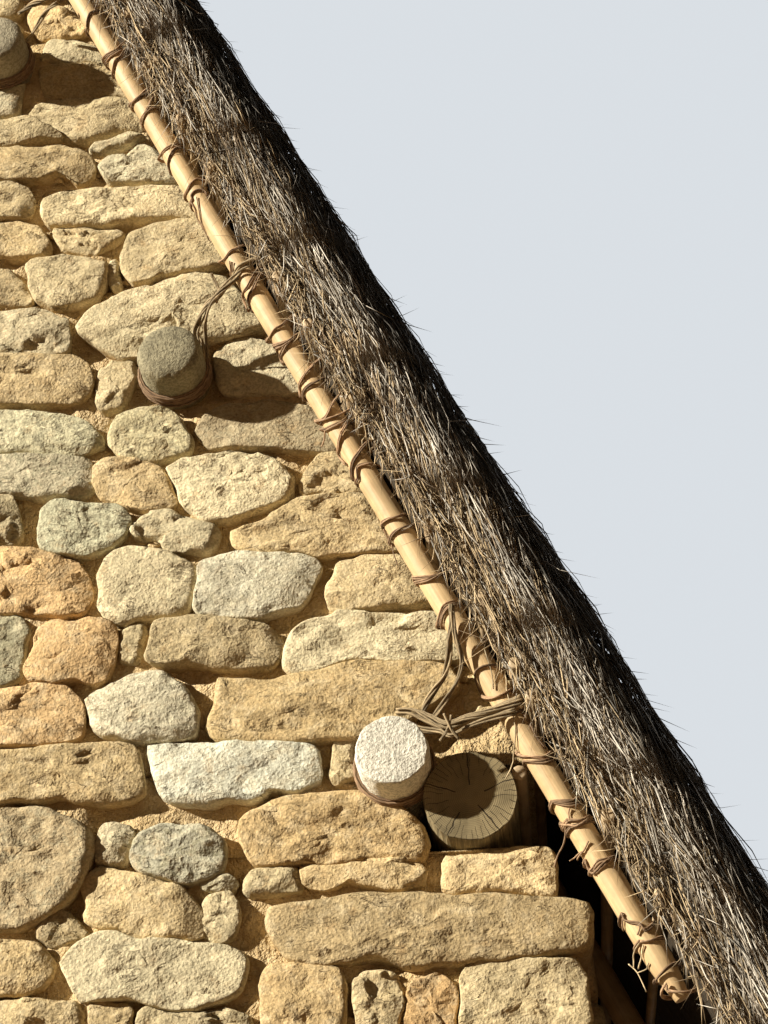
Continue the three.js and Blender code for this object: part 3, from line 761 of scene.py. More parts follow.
# Planes that chip a stone: which way they face, where they start between its middle and its rim, and how deep
# they cut at the rim
ANY_CHIP = ((-3.1, 3.1), (0.1, 0.9), (0.001, 0.015))
LOWER_CHIP = ((-2.2, 0.3), (0.45, 0.92), (0.005, 0.026))


def stones(outlines, proud, depth, face_rings, side_rings, seed, relief):
    """Closed stones in a wall's own frame: across, up, and out of the wall.
    The face is the outline shrunk towards its middle in rings. Its height is how far the stone stands out,
    plus a slight crown and tilt, less a quarter-round fall at the edge, plus rough noise and broken ledges, and
    it is cut by sloping planes that chip the edges, most deeply below and to the right. The rings near the
    middle are levelled. The sides run back, drawing in a little.
    Returns points, traits and local pattern coordinates, each (stones, points, ...)."""
    rng = default_rng(seed)
    copies, columns = outlines.shape[:2]

    def spread(low, high):
        return rng.uniform(low, high, (copies, 1, 1))

    proud, depth = np.reshape(proud, (-1, 1, 1)), np.reshape(depth, (-1, 1, 1))
    middle = outlines.mean(1, keepdims=True)
    reach = outlines - middle
    tangent = unit(np.roll(outlines, -1, 1) - np.roll(outlines, 1, 1))
    normal = tangent[..., ::-1] * (1, -1)
    support = np.maximum(np.sum(reach * normal, -1), 0.006)[:, None]
    size = support.mean((1, 2), keepdims=True)
    share = np.array((0.0, *face_rings, 1.0))[:, None]
    flat = middle[:, None] + share[..., None] * reach[:, None]
    across, up = np.moveaxis(flat - middle[:, None], -1, 0)

    edge = (1 - share) * support
    rounding = np.minimum(spread(0.004, 0.018), size * 0.7)
    fall = rounding * (1 - np.sqrt(1 - np.clip(1 - edge / rounding, 0, 1) ** 2))
    height = proud + spread(-0.002, 0.010) * (1 - share**2) + spread(-0.06, 0.06) * across
    height = height + spread(-0.08, 0.08) * up - fall
    place = stacked(flat[..., 0], flat[..., 1], np.arange(copies)[:, None, None] * 3.7)
    bent = place + 0.010 * smooth_noise(place * (40.0, 40.0, 1.0), seed + 4)[..., None] * (1, 1, 0)
    height = height + 0.8 * relief * rough_noise(place * (13.0, 13.0, 1.0), seed, 4)
    height = height + spread(0.3, 1.25) ** 2 * relief * broken(bent * (13.0, 22.0, 1.0), seed + 5)
    height = height + spread(0.05, 0.38) * relief * broken(bent * (34.0, 62.0, 1.0), seed + 11)
    for turns, starts, drops in (*5 * [ANY_CHIP], *3 * [LOWER_CHIP]):
        turn = spread(*turns)
        out = across * np.cos(turn) + up * np.sin(turn)
        start, drop = spread(*starts), spread(*drops)
        slope = (out / out.max((1, 2), keepdims=True) - start) / (1 - start)
        height = np.minimum(height, proud + 0.007 - slope * drop)
    calm = np.clip(share * 4, 0, 1)
    height = height * calm + height.mean(2, keepdims=True) * (1 - calm)
    face = np.concatenate([flat, height[..., None]], -1)
    # The trait rises at the rim and along the sides; the finish paints it dark brown, part mud stain and part painted
    # shade in the joints.
    face_trait = np.clip(fall / rounding, 0, 1) * 0.25

    rim = face[:, -1:]
    sides, side_traits = [], []
    for share_in in side_rings:
        level = rim[..., 2:] * (1 - share_in) - depth[..., None] * share_in
        shrunk = middle[:, None] + reach[:, None] * (1.0 - 0.05 * share_in)
        sides.append(np.concatenate([shrunk, level], -1))
        side_traits.append(np.full((copies, 1, columns), 0.35 + 0.65 * share_in))
    points = np.concatenate([face, *sides], 1)
    shake = stacked(*(rough_noise(points * 21.0, seed + part, 3) for part in (31, 32)))
    points[:, 1:, :, :2] += 0.0055 * shake[:, 1:]
    traits = np.concatenate([face_trait, *side_traits], 1)
    points = np.concatenate([points[:, 0, :1], points[:, 1:].reshape(copies, -1, 3)], 1)
    traits = np.concatenate([traits[:, 0, :1], traits[:, 1:].reshape(copies, -1)], 1)
    turn = rng.normal(0, 0.15, (copies, 1))
    x, y, z = np.moveaxis(points, -1, 0)
    local = stacked(x * np.cos(turn) - y * np.sin(turn), x * np.sin(turn) + y * np.cos(turn), z)
    return points, traits, local + rng.uniform(-40, 40, (copies, 1, 3))


def stone_tints(names, seed):
    """The tone of each stone, a little lighter or darker, redder or greyer than its neighbours."""
    rng = default_rng(seed)
    tones = np.array([TONES[name] for name in names])
    light = rng.normal(1.0, 0.09, (len(names), 1))
    warmth = rng.normal(0.0, 0.03, (len(names), 1)) * np.array((1.0, 0.0, -1.4))
    lichen = np.array([LICHEN.get(name, 0.0) for name in names]) * rng.uniform(0.4, 1.2, len(names))
    return np.concatenate([np.clip(tones * light * (1 + warmth), 0.05, 0.8), np.clip(lichen, 0, 1)[:, None]], 1)


def any_tints(number, seed):
    """Tints of as many stones, whose tones are drawn by their shares."""
    shares = np.array(list(TONE_SHARES.values()))
    names = default_rng(seed).choice(list(TONE_SHARES), number, p=shares / shares.sum())
    return stone_tints(names, seed)


SIDES = {1: "right", -1: "left"}
GABLES = {True: "front", False: "back"}
# From the front gable to the back one
MIRROR = (1, -1, 1)


def half_turn(points):
    """Half a turn about the plumb line through the middle of the house."""
    return points * (-1, -1, 1)


def turned(face):
    """The same face on the other side of the house."""
    return lambda points: half_turn(face(points))


def front_face(points):
    """From the front gable's own frame to the house: the face leans back as it rises."""
    across, up, out = np.moveaxis(points, -1, 0)
    return stacked(across, -(HALF_LENGTH - (up - PLATE_BED) * BATTER) - out, up)


def side_half_width(up):
    """Half the width of the house over the outer faces of its side walls, at a height."""
    return np.where(up > WALL_TOP, BED_OUTER_X, HALF_WIDTH + (WALL_TOP - up) * BATTER)


def right_face(points):
    along, up, out = np.moveaxis(points, -1, 0)
    return stacked(side_half_width(up) + out, along, up)


def inner_gable_face(points):
    """The room's side of the front gable."""
    across, up, out = np.moveaxis(points, -1, 0)
    return stacked(-across, -INNER_HALF_LENGTH + out, up)


def inner_side_face(points):
    """The room's side of the right side wall."""
    along, up, out = np.moveaxis(points, -1, 0)
    return stacked(INNER_HALF_WIDTH - out, -along, up)


def slope_x(z, out=0.0):
    """Distance from the middle of the house of the line that lies out from the rafter axes, at a height."""
    return ((RAFTER_APEX - z) * COS + out) / SIN


plate_low, plate_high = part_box("right_wall_plate")
PLATE_RADIUS = (plate_high[2] - plate_low[2]) / 2
PLATE_X, PLATE_Z = (plate_high[0] + plate_low[0]) / 2, (plate_high[2] + plate_low[2]) / 2
POCKET_TOP = PLATE_Z + PLATE_RADIUS
MASONRY_TOP = 6.98


def gable_half_width(z):
    """Half the width of the gable's masonry: the battered walls, the bed stones, the pocket for the wall plate,
    and then the roof line."""
    z = np.asarray(z, float)
    width = slope_x(z, MASONRY_LINE)
    width = np.where(z < POCKET_TOP, PLATE_X - PLATE_RADIUS, width)
    return np.where(z < PLATE_BED, side_half_width(z), width)


# Coursed stones, for the faces that the photograph doesn't show

COURSE_HEIGHTS = (0.17, 0.14, 0.16, 0.13, 0.16, 0.14, 0.16, 0.14, 0.16, 0.14, 0.16, 0.19, 0.20, 0.15, 0.16, 0.14,
                  0.14, 0.16, 0.15, 0.11)
COURSES = np.concatenate([[0.0], np.cumsum(COURSE_HEIGHTS)])
SHOWN_COURSE_MARKS = (803, 748, 687, 613, 545, 494, 450, 406, 353, 306, 262, 219, 180, 146, 120, 82, 40, 0)
JOINT = 0.006
FACE_COLUMNS = 12


def course_wave(k, across, calm):
    """How far course line k strays up or down, fading out towards the places that it has to meet level."""
    return 0.016 * wander(across * 1.3 + 11.7 * k, 90 + k) * calm(across)


def course_cells(low, high, stretch, width, rng):
    """Cuts a free stretch of a course, from (left at its foot, at its head) to (right at its foot, at its head),
    into stones. Returns (foot left, head left, foot right, head right, low share, high share) for each."""
    left_low, left_high, right_low, right_high = stretch
    length = (right_low + right_high - left_low - left_high) / 2
    if length < 0.07:
        return []
    number = max(1, int(round(length / width)))
    run = np.concatenate([[0], np.cumsum(rng.uniform(0.5, 1.6, number))])
    run /= run[-1]
    foot, head = left_low + run * (right_low - left_low), left_high + run * (right_high - left_high)
    slant = rng.normal(0, 0.012, number - 1)
    foot[1:-1] += slant
    head[1:-1] -= slant
    cells = []
    for i in range(number):
        sides = (foot[i], head[i], foot[i + 1], head[i + 1])
        if high - low > 0.12 and rng.random() < 0.13:
            part = rng.uniform(0.38, 0.62)
            cells += [(*sides, 0.0, part), (*sides, part, 1.0)]
        else:
            cells.append((*sides, 0.0, 1.0))
    return cells


def course_outlines(k, low, high, cells, rng, calm):
    """Outlines of one course's stones. Each is a superellipse, from nearly square to nearly round, bent into its
    cell between the two wavy course lines, less the joint, and roughened."""
    cells = np.array(cells)
    number = len(cells)
    power, code = 2 / rng.uniform(2.8, 7.0, (number, 1)), rng.uniform(0, 500, (number, 1))
    cos, sin = circle(FACE_COLUMNS).T
    rough = 1 + 0.07 * wander(cos * 2.2 + code, 7) + 0.05 * wander(sin * 3.1 + code, 8)
    across, up = (np.sign(part) * np.abs(part) ** power * rough for part in (cos, sin))
    foot_left, head_left, foot_right, head_right, low_share, high_share = cells.T[:, :, None]
    level = low_share + (high_share - low_share) * (np.clip(up, -1, 1) + 1) / 2
    left = foot_left + (head_left - foot_left) * level
    right = foot_right + (head_right - foot_right) * level
    x = left + (np.clip(across, -1, 1) + 1) / 2 * (right - left)
    z_low = low + course_wave(k, x, calm)
    z_high = high + course_wave(k + 1, x, calm)
    z = z_low + (z_high - z_low) * level
    joint = JOINT * rng.uniform(0.5, 1.6, (number, 1))
    return stacked(x - joint * across, z - joint * up)


def masonry(lines, stretches, width, seed, calm):
    """Outlines of all the stones between the course lines. stretches(k, low, high) gives the free stretches of
    course k."""
    rng = default_rng(seed)
    found = []
    for k, (low, high) in enumerate(zip(lines[:-1], lines[1:])):
        cells = [c for s in stretches(k, low, high) for c in course_cells(low, high, s, width, rng)]
        if cells:
            found.append(course_outlines(k, low, high, cells, rng, calm))
    return np.concatenate(found)


def clear_of_pegs(outlines):
    """Drops the stones that lie mostly under a peg, and bends the outlines of the others round it."""
    room = PEG_RADIUS + 0.014
    for place in (peg_place(row, hand) for hand in (1, -1) for row in range(PEG_ROWS)):
        away = np.linalg.norm(outlines.mean(1) - place, axis=-1)
        outlines = outlines[away > room]
        offset = outlines - place
        distance = np.linalg.norm(offset, axis=-1, keepdims=True)
        outlines = place + offset * np.maximum(1, room / np.maximum(distance, 1e-6))
    return outlines


def peg_place(row, hand):
    """A peg's place across the gable and its height."""
    return np.array((hand * (PEG_LOWEST[0] + row * PEG_STEP[0]), PEG_LOWEST[1] + row * PEG_STEP[1]))


# Corner stones lie by turns along the gable and along the side wall. Their reach in metres, for each course,
# on the front right, front left, back right and back left corners, as seen from the front and from the back.
corner_rng = default_rng(5)
corner_turn = (np.arange(len(COURSES) - 1)[:, None] + np.array((0, 1, 1, 0))) % 2
LONG_REACH, SHORT_REACH = (0.42, 0.62, corner_turn.shape), (0.24, 0.32, corner_turn.shape)
CORNER_ON_GABLE = np.where(corner_turn, corner_rng.uniform(*LONG_REACH), corner_rng.uniform(*SHORT_REACH))
CORNER_ON_SIDE = np.where(corner_turn, corner_rng.uniform(*SHORT_REACH), corner_rng.uniform(*LONG_REACH))
SHOWN_CORNER_FOOT = 2.63
SHOWN_CORNER_COURSE = int(np.searchsorted(COURSES, SHOWN_CORNER_FOOT))
SHOWN_CORNER_REACH = 0.30


def corner_calm(half):
    """1 in the middle of a wall and 0 at its corners."""
    return lambda across: np.clip((half - 0.35 - np.abs(across)) / 0.5, 0, 1)


def shown_outlines(group):
    return np.stack([smooth_outline(on_gable(np.reshape(outline, (-1, 2)), proud / 1000), 66, SHOWN_GROWTH)
                     for _, proud, *outline in group])


SHOWN_FACE_RINGS = (0.12, 0.24, 0.36, 0.47, 0.57, 0.66, 0.75, 0.83, 0.90, 0.95, 0.98)
SHOWN = shown_outlines(SHOWN_STONES)
SHOWN_CORNERS = shown_outlines(SHOWN_CORNER_STONES)
SHOWN_FOOT = COURSES[SHOWN_CORNER_COURSE]
SHOWN_LINES = [on_gable([(-20, mark)])[0, 1] for mark in SHOWN_COURSE_MARKS]
SHOWN_HEAD = SHOWN_LINES[-1]
FACE_RINGS = (0.58, 0.91)


def shown_left_end(low, high):
    """The left end of the photographed stones that overlap a course in height."""
    return min(o[:, 0].min() for o in SHOWN if o[:, 1].max() > low + 0.02 and o[:, 1].min() < high - 0.02)


def between_corners(k, low, high, corner):
    """The left and right ends of a gable's course beside its corner stones, at its foot and head."""
    right = gable_half_width((low + 0.004, high - 0.004))
    if k < len(COURSES) - 1:
        return CORNER_ON_GABLE[k, corner + 1] - right, right - CORNER_ON_GABLE[k, corner]
    return -right, right


def front_stretches(k, low, high):
    """Below the photographed part a course runs between the corner stones, and beside it up to its left ends."""
    left, right = between_corners(k, low, high, 0)
    if low > SHOWN_FOOT - 0.02 and high < SHOWN_HEAD + 0.02:
        right = np.full(2, shown_left_end(low, high) - JOINT)
    return [(*left, *right)]


def lines_to_top(start, count, seed):
    """Course lines of uneven height from a start up to the top of the masonry."""
    steps = default_rng(seed).uniform(0.12, 0.18, count)
    return start + np.cumsum(steps) * (MASONRY_TOP - start) / steps.sum()


def add_stones(surface, outlines, wall, seed, proud=(0.0, 0.026), depth=0.07, face_rings=FACE_RINGS,
               side_rings=(1.0,), relief=0.006, tints=None):
    """Works out the stones and puts them in their wall. proud is how far each stands out, or a range to draw
    it from."""
    if isinstance(proud, tuple):
        proud = default_rng(seed).uniform(*proud, len(outlines))
    if tints is None:
        tints = any_tints(len(outlines), seed)
    points, traits, local = stones(outlines, proud, depth, face_rings, side_rings, seed, relief)
    rings = len(face_rings) + 1 + len(side_rings)
    surface.add(wall(points), stone_faces(rings, outlines.shape[1]), tints, traits, local)


def shown_masonry():
    """The stones of the photographed part of the front gable."""
    surface = Surface()
    for group, outlines, depth, sides in (
        (SHOWN_STONES, SHOWN, 0.07, (0.35, 1.0)),
        (SHOWN_CORNER_STONES, SHOWN_CORNERS, SHOWN_CORNER_REACH, (0.04, 0.12, 0.3, 0.6, 0.9, 1.0)),
    ):
        tones, proud = [stone[0] for stone in group], np.array([stone[1] for stone in group]) / 1000
        add_stones(surface, outlines, front_face, 41, proud, depth, SHOWN_FACE_RINGS, sides, 0.0065,
                   stone_tints(tones, 3))
    surface.build("shown_gable_stones", STONE, "masonry", ["front_gable_wall"])


def block(hand, near, far, low, high, columns=20):
    """The outline of a squared stone on one side of the middle, from near to far, each at its foot and its head.
    Points added on its sides leave only its corners rounded."""
    outline = np.array(((near[0], low), (far[0], low), (far[1], high), (near[1], high))) * (hand, 1)
    ahead = np.roll(outline, -1, 0)
    corners = np.stack([outline, outline * 0.8 + ahead * 0.2, outline * 0.2 + ahead * 0.8], 1)
    return smooth_outline(corners.reshape(-1, 2), columns)


def corner_masonry(surface, corner, courses, wall, seed):
    """The lowest courses' stones on one corner of a gable."""
    hand = (1, -1, 1, -1)[corner]
    outlines = []
    for k in range(courses):
        low, high = COURSES[k] + JOINT, COURSES[k + 1] - JOINT
        end = gable_half_width((low, high)) + 0.006
        outlines.append(block(hand, end - CORNER_ON_GABLE[k, corner] + JOINT, end, low, high))
    add_stones(surface, np.stack(outlines), wall, seed, (0.006, 0.02), CORNER_ON_SIDE[:courses, corner],
               (0.5, 0.8, 0.94), (0.05, 0.2, 0.55, 1.0), 0.005)


def gable_courses(surface, lines, stretches, width, wall, seed):
    outlines = clear_of_pegs(masonry(lines, stretches, width, seed, corner_calm(HALF_WIDTH)))
    add_stones(surface, outlines, wall, seed + 2, tints=any_tints(len(outlines), seed + 1))


def front_masonry():
    """The rest of the front gable: coursed stones, and the corner stones on both sides."""
    surface = Surface()
    lines = [*COURSES[COURSES < PLATE_BED + 0.01], *SHOWN_LINES, *lines_to_top(SHOWN_HEAD, 8, 6)]
    gable_courses(surface, lines, front_stretches, 0.27, front_face, 12)
    corner_masonry(surface, 0, SHOWN_CORNER_COURSE, front_face, 15)
    corner_masonry(surface, 1, len(COURSES) - 1, front_face, 16)
    surface.build("front_gable_stones", STONE, "masonry", ["front_gable_wall"])


def back_stretches(k, low, high):
    left, right = between_corners(k, low, high, 2)
    return [(*left, *right)]


def back_masonry():
    surface = Surface()
    gable_courses(surface, [*COURSES, *lines_to_top(PLATE_BED, 26, 21)], back_stretches, 0.31, turned(front_face), 22)
    corner_masonry(surface, 2, len(COURSES) - 1, turned(front_face), 25)
    corner_masonry(surface, 3, len(COURSES) - 1, turned(front_face), 26)
    surface.build("back_gable_stones", STONE, "masonry", ["back_gable_wall"])


def door_half_width(z):
    """Half the width of the doorway at a height, wider at the foot, and of the lintel above it."""
    z = np.asarray(z, float)
    half = DOOR_HALF_FOOT + (DOOR_HALF_HEAD - DOOR_HALF_FOOT) * z / DOOR_HEIGHT
    half = np.where(z > DOOR_HEIGHT, LINTEL_HALF_LENGTH, half)
    return np.where(z > LINTEL_TOP, 0.0, half)


JAMB_REACH = default_rng(31).uniform((0.20, 0.36), (0.28, 0.50), (len(COURSES), 2))


def side_stretches(hand, front_corner, back_corner, door):
    """Free stretches of a side wall between its corner stones, and beside the jamb stones of the doorway. hand
    is 1 on the right, whose own left is the front, and -1 on the left."""
    def stretches(k, low, high):
        end = HALF_LENGTH - (np.array((low, high)) - PLATE_BED) * BATTER
        near, far = (front_corner, back_corner) if hand == 1 else (back_corner, front_corner)
        start, stop = -end + reach_on_side(k, near), end - reach_on_side(k, far)
        if not door or low > LINTEL_TOP - 0.01:
            return [(*start, *stop)]
        half = door_half_width((low + 0.002, high - 0.002))
        if high < DOOR_HEIGHT + 0.01:
            half = half + JAMB_REACH[k, k % 2]
        return [(*start, *-half), (*half, *stop)]
    return stretches


def reach_on_side(k, corner):
    if corner == 0 and k >= SHOWN_CORNER_COURSE:
        return SHOWN_CORNER_REACH
    return CORNER_ON_SIDE[k, corner]


def jamb_masonry(surface):
    """The jambs of the doorway: one stone from the outer face and one from the room on each course and side."""
    thickness = HALF_WIDTH - INNER_HALF_WIDTH
    for side in (1, -1):
        for inner in (False, True):
            outlines, reaches = [], []
            for k in range(np.searchsorted(COURSES, DOOR_HEIGHT + 0.01) - 1):
                low, high = COURSES[k] + JOINT, COURSES[k + 1] - JOINT
                near = door_half_width((low, high)) - 0.004
                outlines.append(block(side, near, near + JAMB_REACH[k, k % 2] - JOINT, low, high))
                part = 0.36 if k % 2 else 0.62
                reaches.append(thickness * (1 - part if inner else part))
            add_stones(surface, np.stack(outlines), inner_side_face if inner else right_face, 61 + side + 5 * inner,
                       (0.004, 0.014), np.array(reaches), (0.5, 0.8, 0.94), (0.04, 0.15, 0.45, 0.8, 1.0), 0.005)


def side_masonry(name, wall, stretches, seed, nodes, door=False):
    surface = Surface()
    outlines = masonry(COURSES, stretches, 0.32, seed, corner_calm(HALF_LENGTH))
    add_stones(surface, outlines, wall, seed + 1, tints=any_tints(len(outlines), seed))
    if door:
        jamb_masonry(surface)
    surface.build(name, STONE, "masonry", nodes)


def inner_masonry():
    """Larger, plainer stones on the four faces of the room up to the wall plates, and on the gables above."""
    surface = Surface()
    lines = np.unique(np.round([COURSES[0], *COURSES[1::2], COURSES[-1]], 3))
    upper = np.arange(PLATE_BED, MASONRY_TOP, 0.28)
    end = INNER_HALF_LENGTH

    def along_gable(k, low, high):
        half = np.minimum(slope_x(np.array((low, high)), MASONRY_LINE), INNER_HALF_WIDTH)
        return [(*-half, *half)]

    def along_side(k, low, high):
        return [(-end, -end, end, end)]

    def beside_door(k, low, high):
        if low > LINTEL_TOP - 0.01:
            return along_side(k, low, high)
        half = np.maximum(door_half_width((low, high)), door_half_width(low)) + (0.3 if low < DOOR_HEIGHT else 0)
        return [(-end, -end, *-half), (*half, end, end)]

    for seed, levels, stretches, wall in (
        (70, lines, along_gable, inner_gable_face), (71, lines, along_gable, turned(inner_gable_face)),
        (72, upper, along_gable, inner_gable_face), (73, upper, along_gable, turned(inner_gable_face)),
        (74, lines, beside_door, inner_side_face), (75, lines, along_side, turned(inner_side_face)),
    ):
        outlines = masonry(levels, stretches, 0.56, seed, corner_calm(INNER_HALF_LENGTH))
        add_stones(surface, outlines, wall, seed, (-0.004, 0.012), 0.05, (0.8,))
    surface.build("room_stones", STONE, "masonry")


def lintel():
    """The long flat stone over the doorway, through the whole wall."""
    surface = Surface()
    low, high = DOOR_HEIGHT + JOINT / 2, LINTEL_TOP - JOINT / 2
    half = LINTEL_HALF_LENGTH - 0.004
    outline = block(1, (-half, -half), (half, half), low, high, 48)
    add_stones(surface, outline[None], right_face, 3, np.array([0.012]), HALF_WIDTH - INNER_HALF_WIDTH + 0.03,
               (0.3, 0.55, 0.75, 0.88, 0.96), (0.03, 0.12, 0.3, 0.6, 1.0), 0.005, stone_tints(["grey"], 2))
    surface.build("lintel_stone", STONE, "lintel_stone", ["door_lintel"])


# Mud mortar behind the stones

MUD_BACK = 0.022
MUD_STEP = 0.075
MUD_TINT = (0.5, 0.35, 0.18, 0)


def mud_relief(points, seed):
    """How far the mud stands forward of its mean face."""
    return 0.020 * rough_noise(points * 13.0, seed, 3) + 0.007 * smooth_noise(points * 47.0, seed + 3)


def gable_mud(front):
    """The mud core of a gable: a rectangle in plan carried up the wall, whose half width follows the masonry's
    outline and whose outer side leans in. Its outer face is rough, finest in the photographed part."""
    steps = (PLATE_BED - 0.0006, PLATE_BED, POCKET_TOP - 0.0006, POCKET_TOP, MASONRY_TOP)
    levels = np.unique(np.concatenate([
        np.arange(0, SHOWN_FOOT - 0.05, MUD_STEP),
        np.arange(SHOWN_FOOT - 0.05, SHOWN_HEAD, 0.024 if front else MUD_STEP),
        np.arange(SHOWN_HEAD, MASONRY_TOP, MUD_STEP), steps]))[:, None]
    shares = np.concatenate([np.linspace(-1, 0.16, 22)[:-1], np.linspace(0.16, 1, 60 if front else 16)])
    thickness = np.linspace(0, 1, 8)[1:-1]
    across = np.concatenate([shares, np.ones(6), np.linspace(1, -1, 18), -np.ones(6)])
    through = np.concatenate([0 * shares, thickness, np.ones(18), thickness[::-1]])
    outer, inner = -(HALF_LENGTH - (levels - PLATE_BED) * BATTER) + MUD_BACK, -INNER_HALF_LENGTH - 0.025
    points = stacked((gable_half_width(levels) - 0.036) * across, outer + (inner - outer) * through, levels)
    points[..., 1] -= (np.arange(len(across)) < len(shares)) * mud_relief(points, 51 if front else 52)
    return capped(points if front else half_turn(points)), tube_faces(len(levels), len(across))


def side_mud(start, stop, seed, low=0.0):
    """The mud core of a side wall on the right: its cross-section carried along the wall, between ends that may
    lean with the doorway's jambs. start and stop give the ends at each height."""
    levels = np.concatenate([np.arange(low, WALL_TOP, MUD_STEP), [WALL_TOP, WALL_TOP + 0.0006, PLATE_BED]])
    down = levels[::-1]
    outer = side_half_width(down) - MUD_BACK
    inner = np.full_like(levels, INNER_HALF_WIDTH + 0.025)
    foot = np.linspace(outer[-1], inner[0], 6)[1:-1]
    head = np.linspace(inner[-1], outer[0], 6)[1:-1]
    x = np.concatenate([outer, foot, inner, head])
    z = np.concatenate([down, np.full(4, low), levels, np.full(4, PLATE_BED)])
    rows = max(3, int((stop(low) - start(low)) / 0.09))
    share = np.linspace(0, 1, rows)[:, None]
    points = stacked(x, start(z) + (stop(z) - start(z)) * share, z)
    points[..., 0] += (np.arange(len(x)) < len(down)) * mud_relief(points, seed)
    return capped(points), tube_faces(rows, len(x))


def mud_clods(surface):
    """Small lumps of mud and chips of stone in the joints round the photographed stones: rough balls from a
    grid of latitude and longitude, squashed against the wall."""
    rng = default_rng(57)
    outlines = np.concatenate(SHOWN)
    number = 230
    place = outlines[rng.integers(0, len(outlines), number)] + rng.normal(0, 0.005, (number, 2))
    wide = rng.uniform(0.005, 0.013, number)
    latitude = np.linspace(-math.pi / 2, math.pi / 2, 6)[1:-1, None]
    rings = stacked(*(np.cos(latitude) * circle(8).T[:, None]), np.sin(latitude))
    ball = capped(rings, (0, 0, -1), (0, 0, 1))
    shape = ball[None] * wide[:, None, None] * rng.uniform(0.5, 1.4, (number, 1, 3)) * (1.25, 0.8, 0.9)
    shape *= 1 + 0.6 * smooth_noise(ball[None] * 1.7 + np.arange(number)[:, None, None] * 5.3, 58)[..., None]
    centre = np.concatenate([place, rng.uniform(-0.030, -0.016, (number, 1))], 1)
    surface.add(front_face(shape + centre[:, None]), tube_faces(4, 8), MUD_TINT)


def mud_cores():
    """All the mortar, as the walls' cores."""
    surface = Surface()
    end, over_lintel = INNER_HALF_LENGTH + 0.1, LINTEL_HALF_LENGTH + 0.04

    def fixed(value):
        return lambda z: np.full_like(np.asarray(z, float), value)

    def jamb(z):
        return -np.maximum(door_half_width(z), np.where(z > LINTEL_TOP, LINTEL_HALF_LENGTH, 0)) - 0.03

    left, left_faces = side_mud(fixed(-end), fixed(end), 56)
    for points, faces in (
        gable_mud(True), gable_mud(False), side_mud(fixed(-end), jamb, 53),
        side_mud(lambda z: -jamb(z), fixed(end), 54),
        side_mud(fixed(-over_lintel), fixed(over_lintel), 55, LINTEL_TOP + 0.02), (half_turn(left), left_faces),
    ):
        surface.add(points, faces, MUD_TINT)
    mud_clods(surface)
    surface.build("mud_mortar", MUD, "masonry", ["left_side_wall", "wall_over_door"])


def walls():
    shown_masonry()
    front_masonry()
    back_masonry()
    side_masonry("right_side_stones", right_face, side_stretches(1, 0, 3, True), 31,
                 ["right_side_wall_front", "right_side_wall_back", "wall_over_door"], door=True)
    side_masonry("left_side_stones", turned(right_face), side_stretches(-1, 1, 2, False), 34, ["left_side_wall"])
    inner_masonry()
    lintel()
    mud_cores()


walls()


# Slopes of the roof

VERGE_OUTLINE_T = (0.0, 0.0613, 0.1063, 0.1563, 0.220, 0.262, 0.280)
VERGE_OUTLINE_Y = (3.10, 3.150, 3.205, 3.220, 3.185, 3.135, 3.070)
RAFTER_TOP = 0.03
RIDGE_POLE_RADIUS = 0.050
RIDGE_POLE_END = 3.06
RIDGE_POLE_Z = RAFTER_APEX - (RIDGE_POLE_RADIUS + RAFTER_RADIUS + 0.0003) / COS
EAVE_POLE_RADIUS = 0.018
EAVE_POLE_OUT = PLATE_RADIUS + EAVE_POLE_RADIUS
EAVE_POLE_PLACE = (PLATE_X + EAVE_POLE_OUT * SIN, PLATE_Z + EAVE_POLE_OUT * COS)
EAVE_POLE_END = 3.040
PLATE_END = 3.052
BATTENS = BATTEN_FIRST + BATTEN_STEP * np.arange(BATTEN_COUNT)
POLE_TINT = (0.60, 0.43, 0.235, 0)
DRY_POLE_TINT = (0.50, 0.38, 0.24, 0)
OLD_WOOD_TINT = (0.265, 0.212, 0.12, 0)


def on_slope(points, hand=1):
    """From a slope's frame (down the slope from the apex, along the house, out from the rafter axes) to the
    house. The left slope (hand -1) is the right one after half a turn."""
    down, along, out = np.moveaxis(np.asarray(points, float), -1, 0)
    x, z = down * COS + out * SIN, RAFTER_APEX - down * SIN + out * COS
    return stacked(hand * x, hand * along, z)


def in_slope(points):
    """From the house to the frame of the right slope."""
    x, y, z = np.moveaxis(np.asarray(points, float), -1, 0)
    return stacked(x * COS - (z - RAFTER_APEX) * SIN, y, x * SIN + (z - RAFTER_APEX) * COS)


def through_pixels(pixels, y):
    """Where the rays through pixels of the photograph meet upright planes across the house at y."""
    rays = pixel_rays(np.reshape(pixels, (-1, 2)))
    return CAMERA_PLACE + rays * ((np.asarray(y) - CAMERA_PLACE[1]) / rays[:, 1])[:, None]


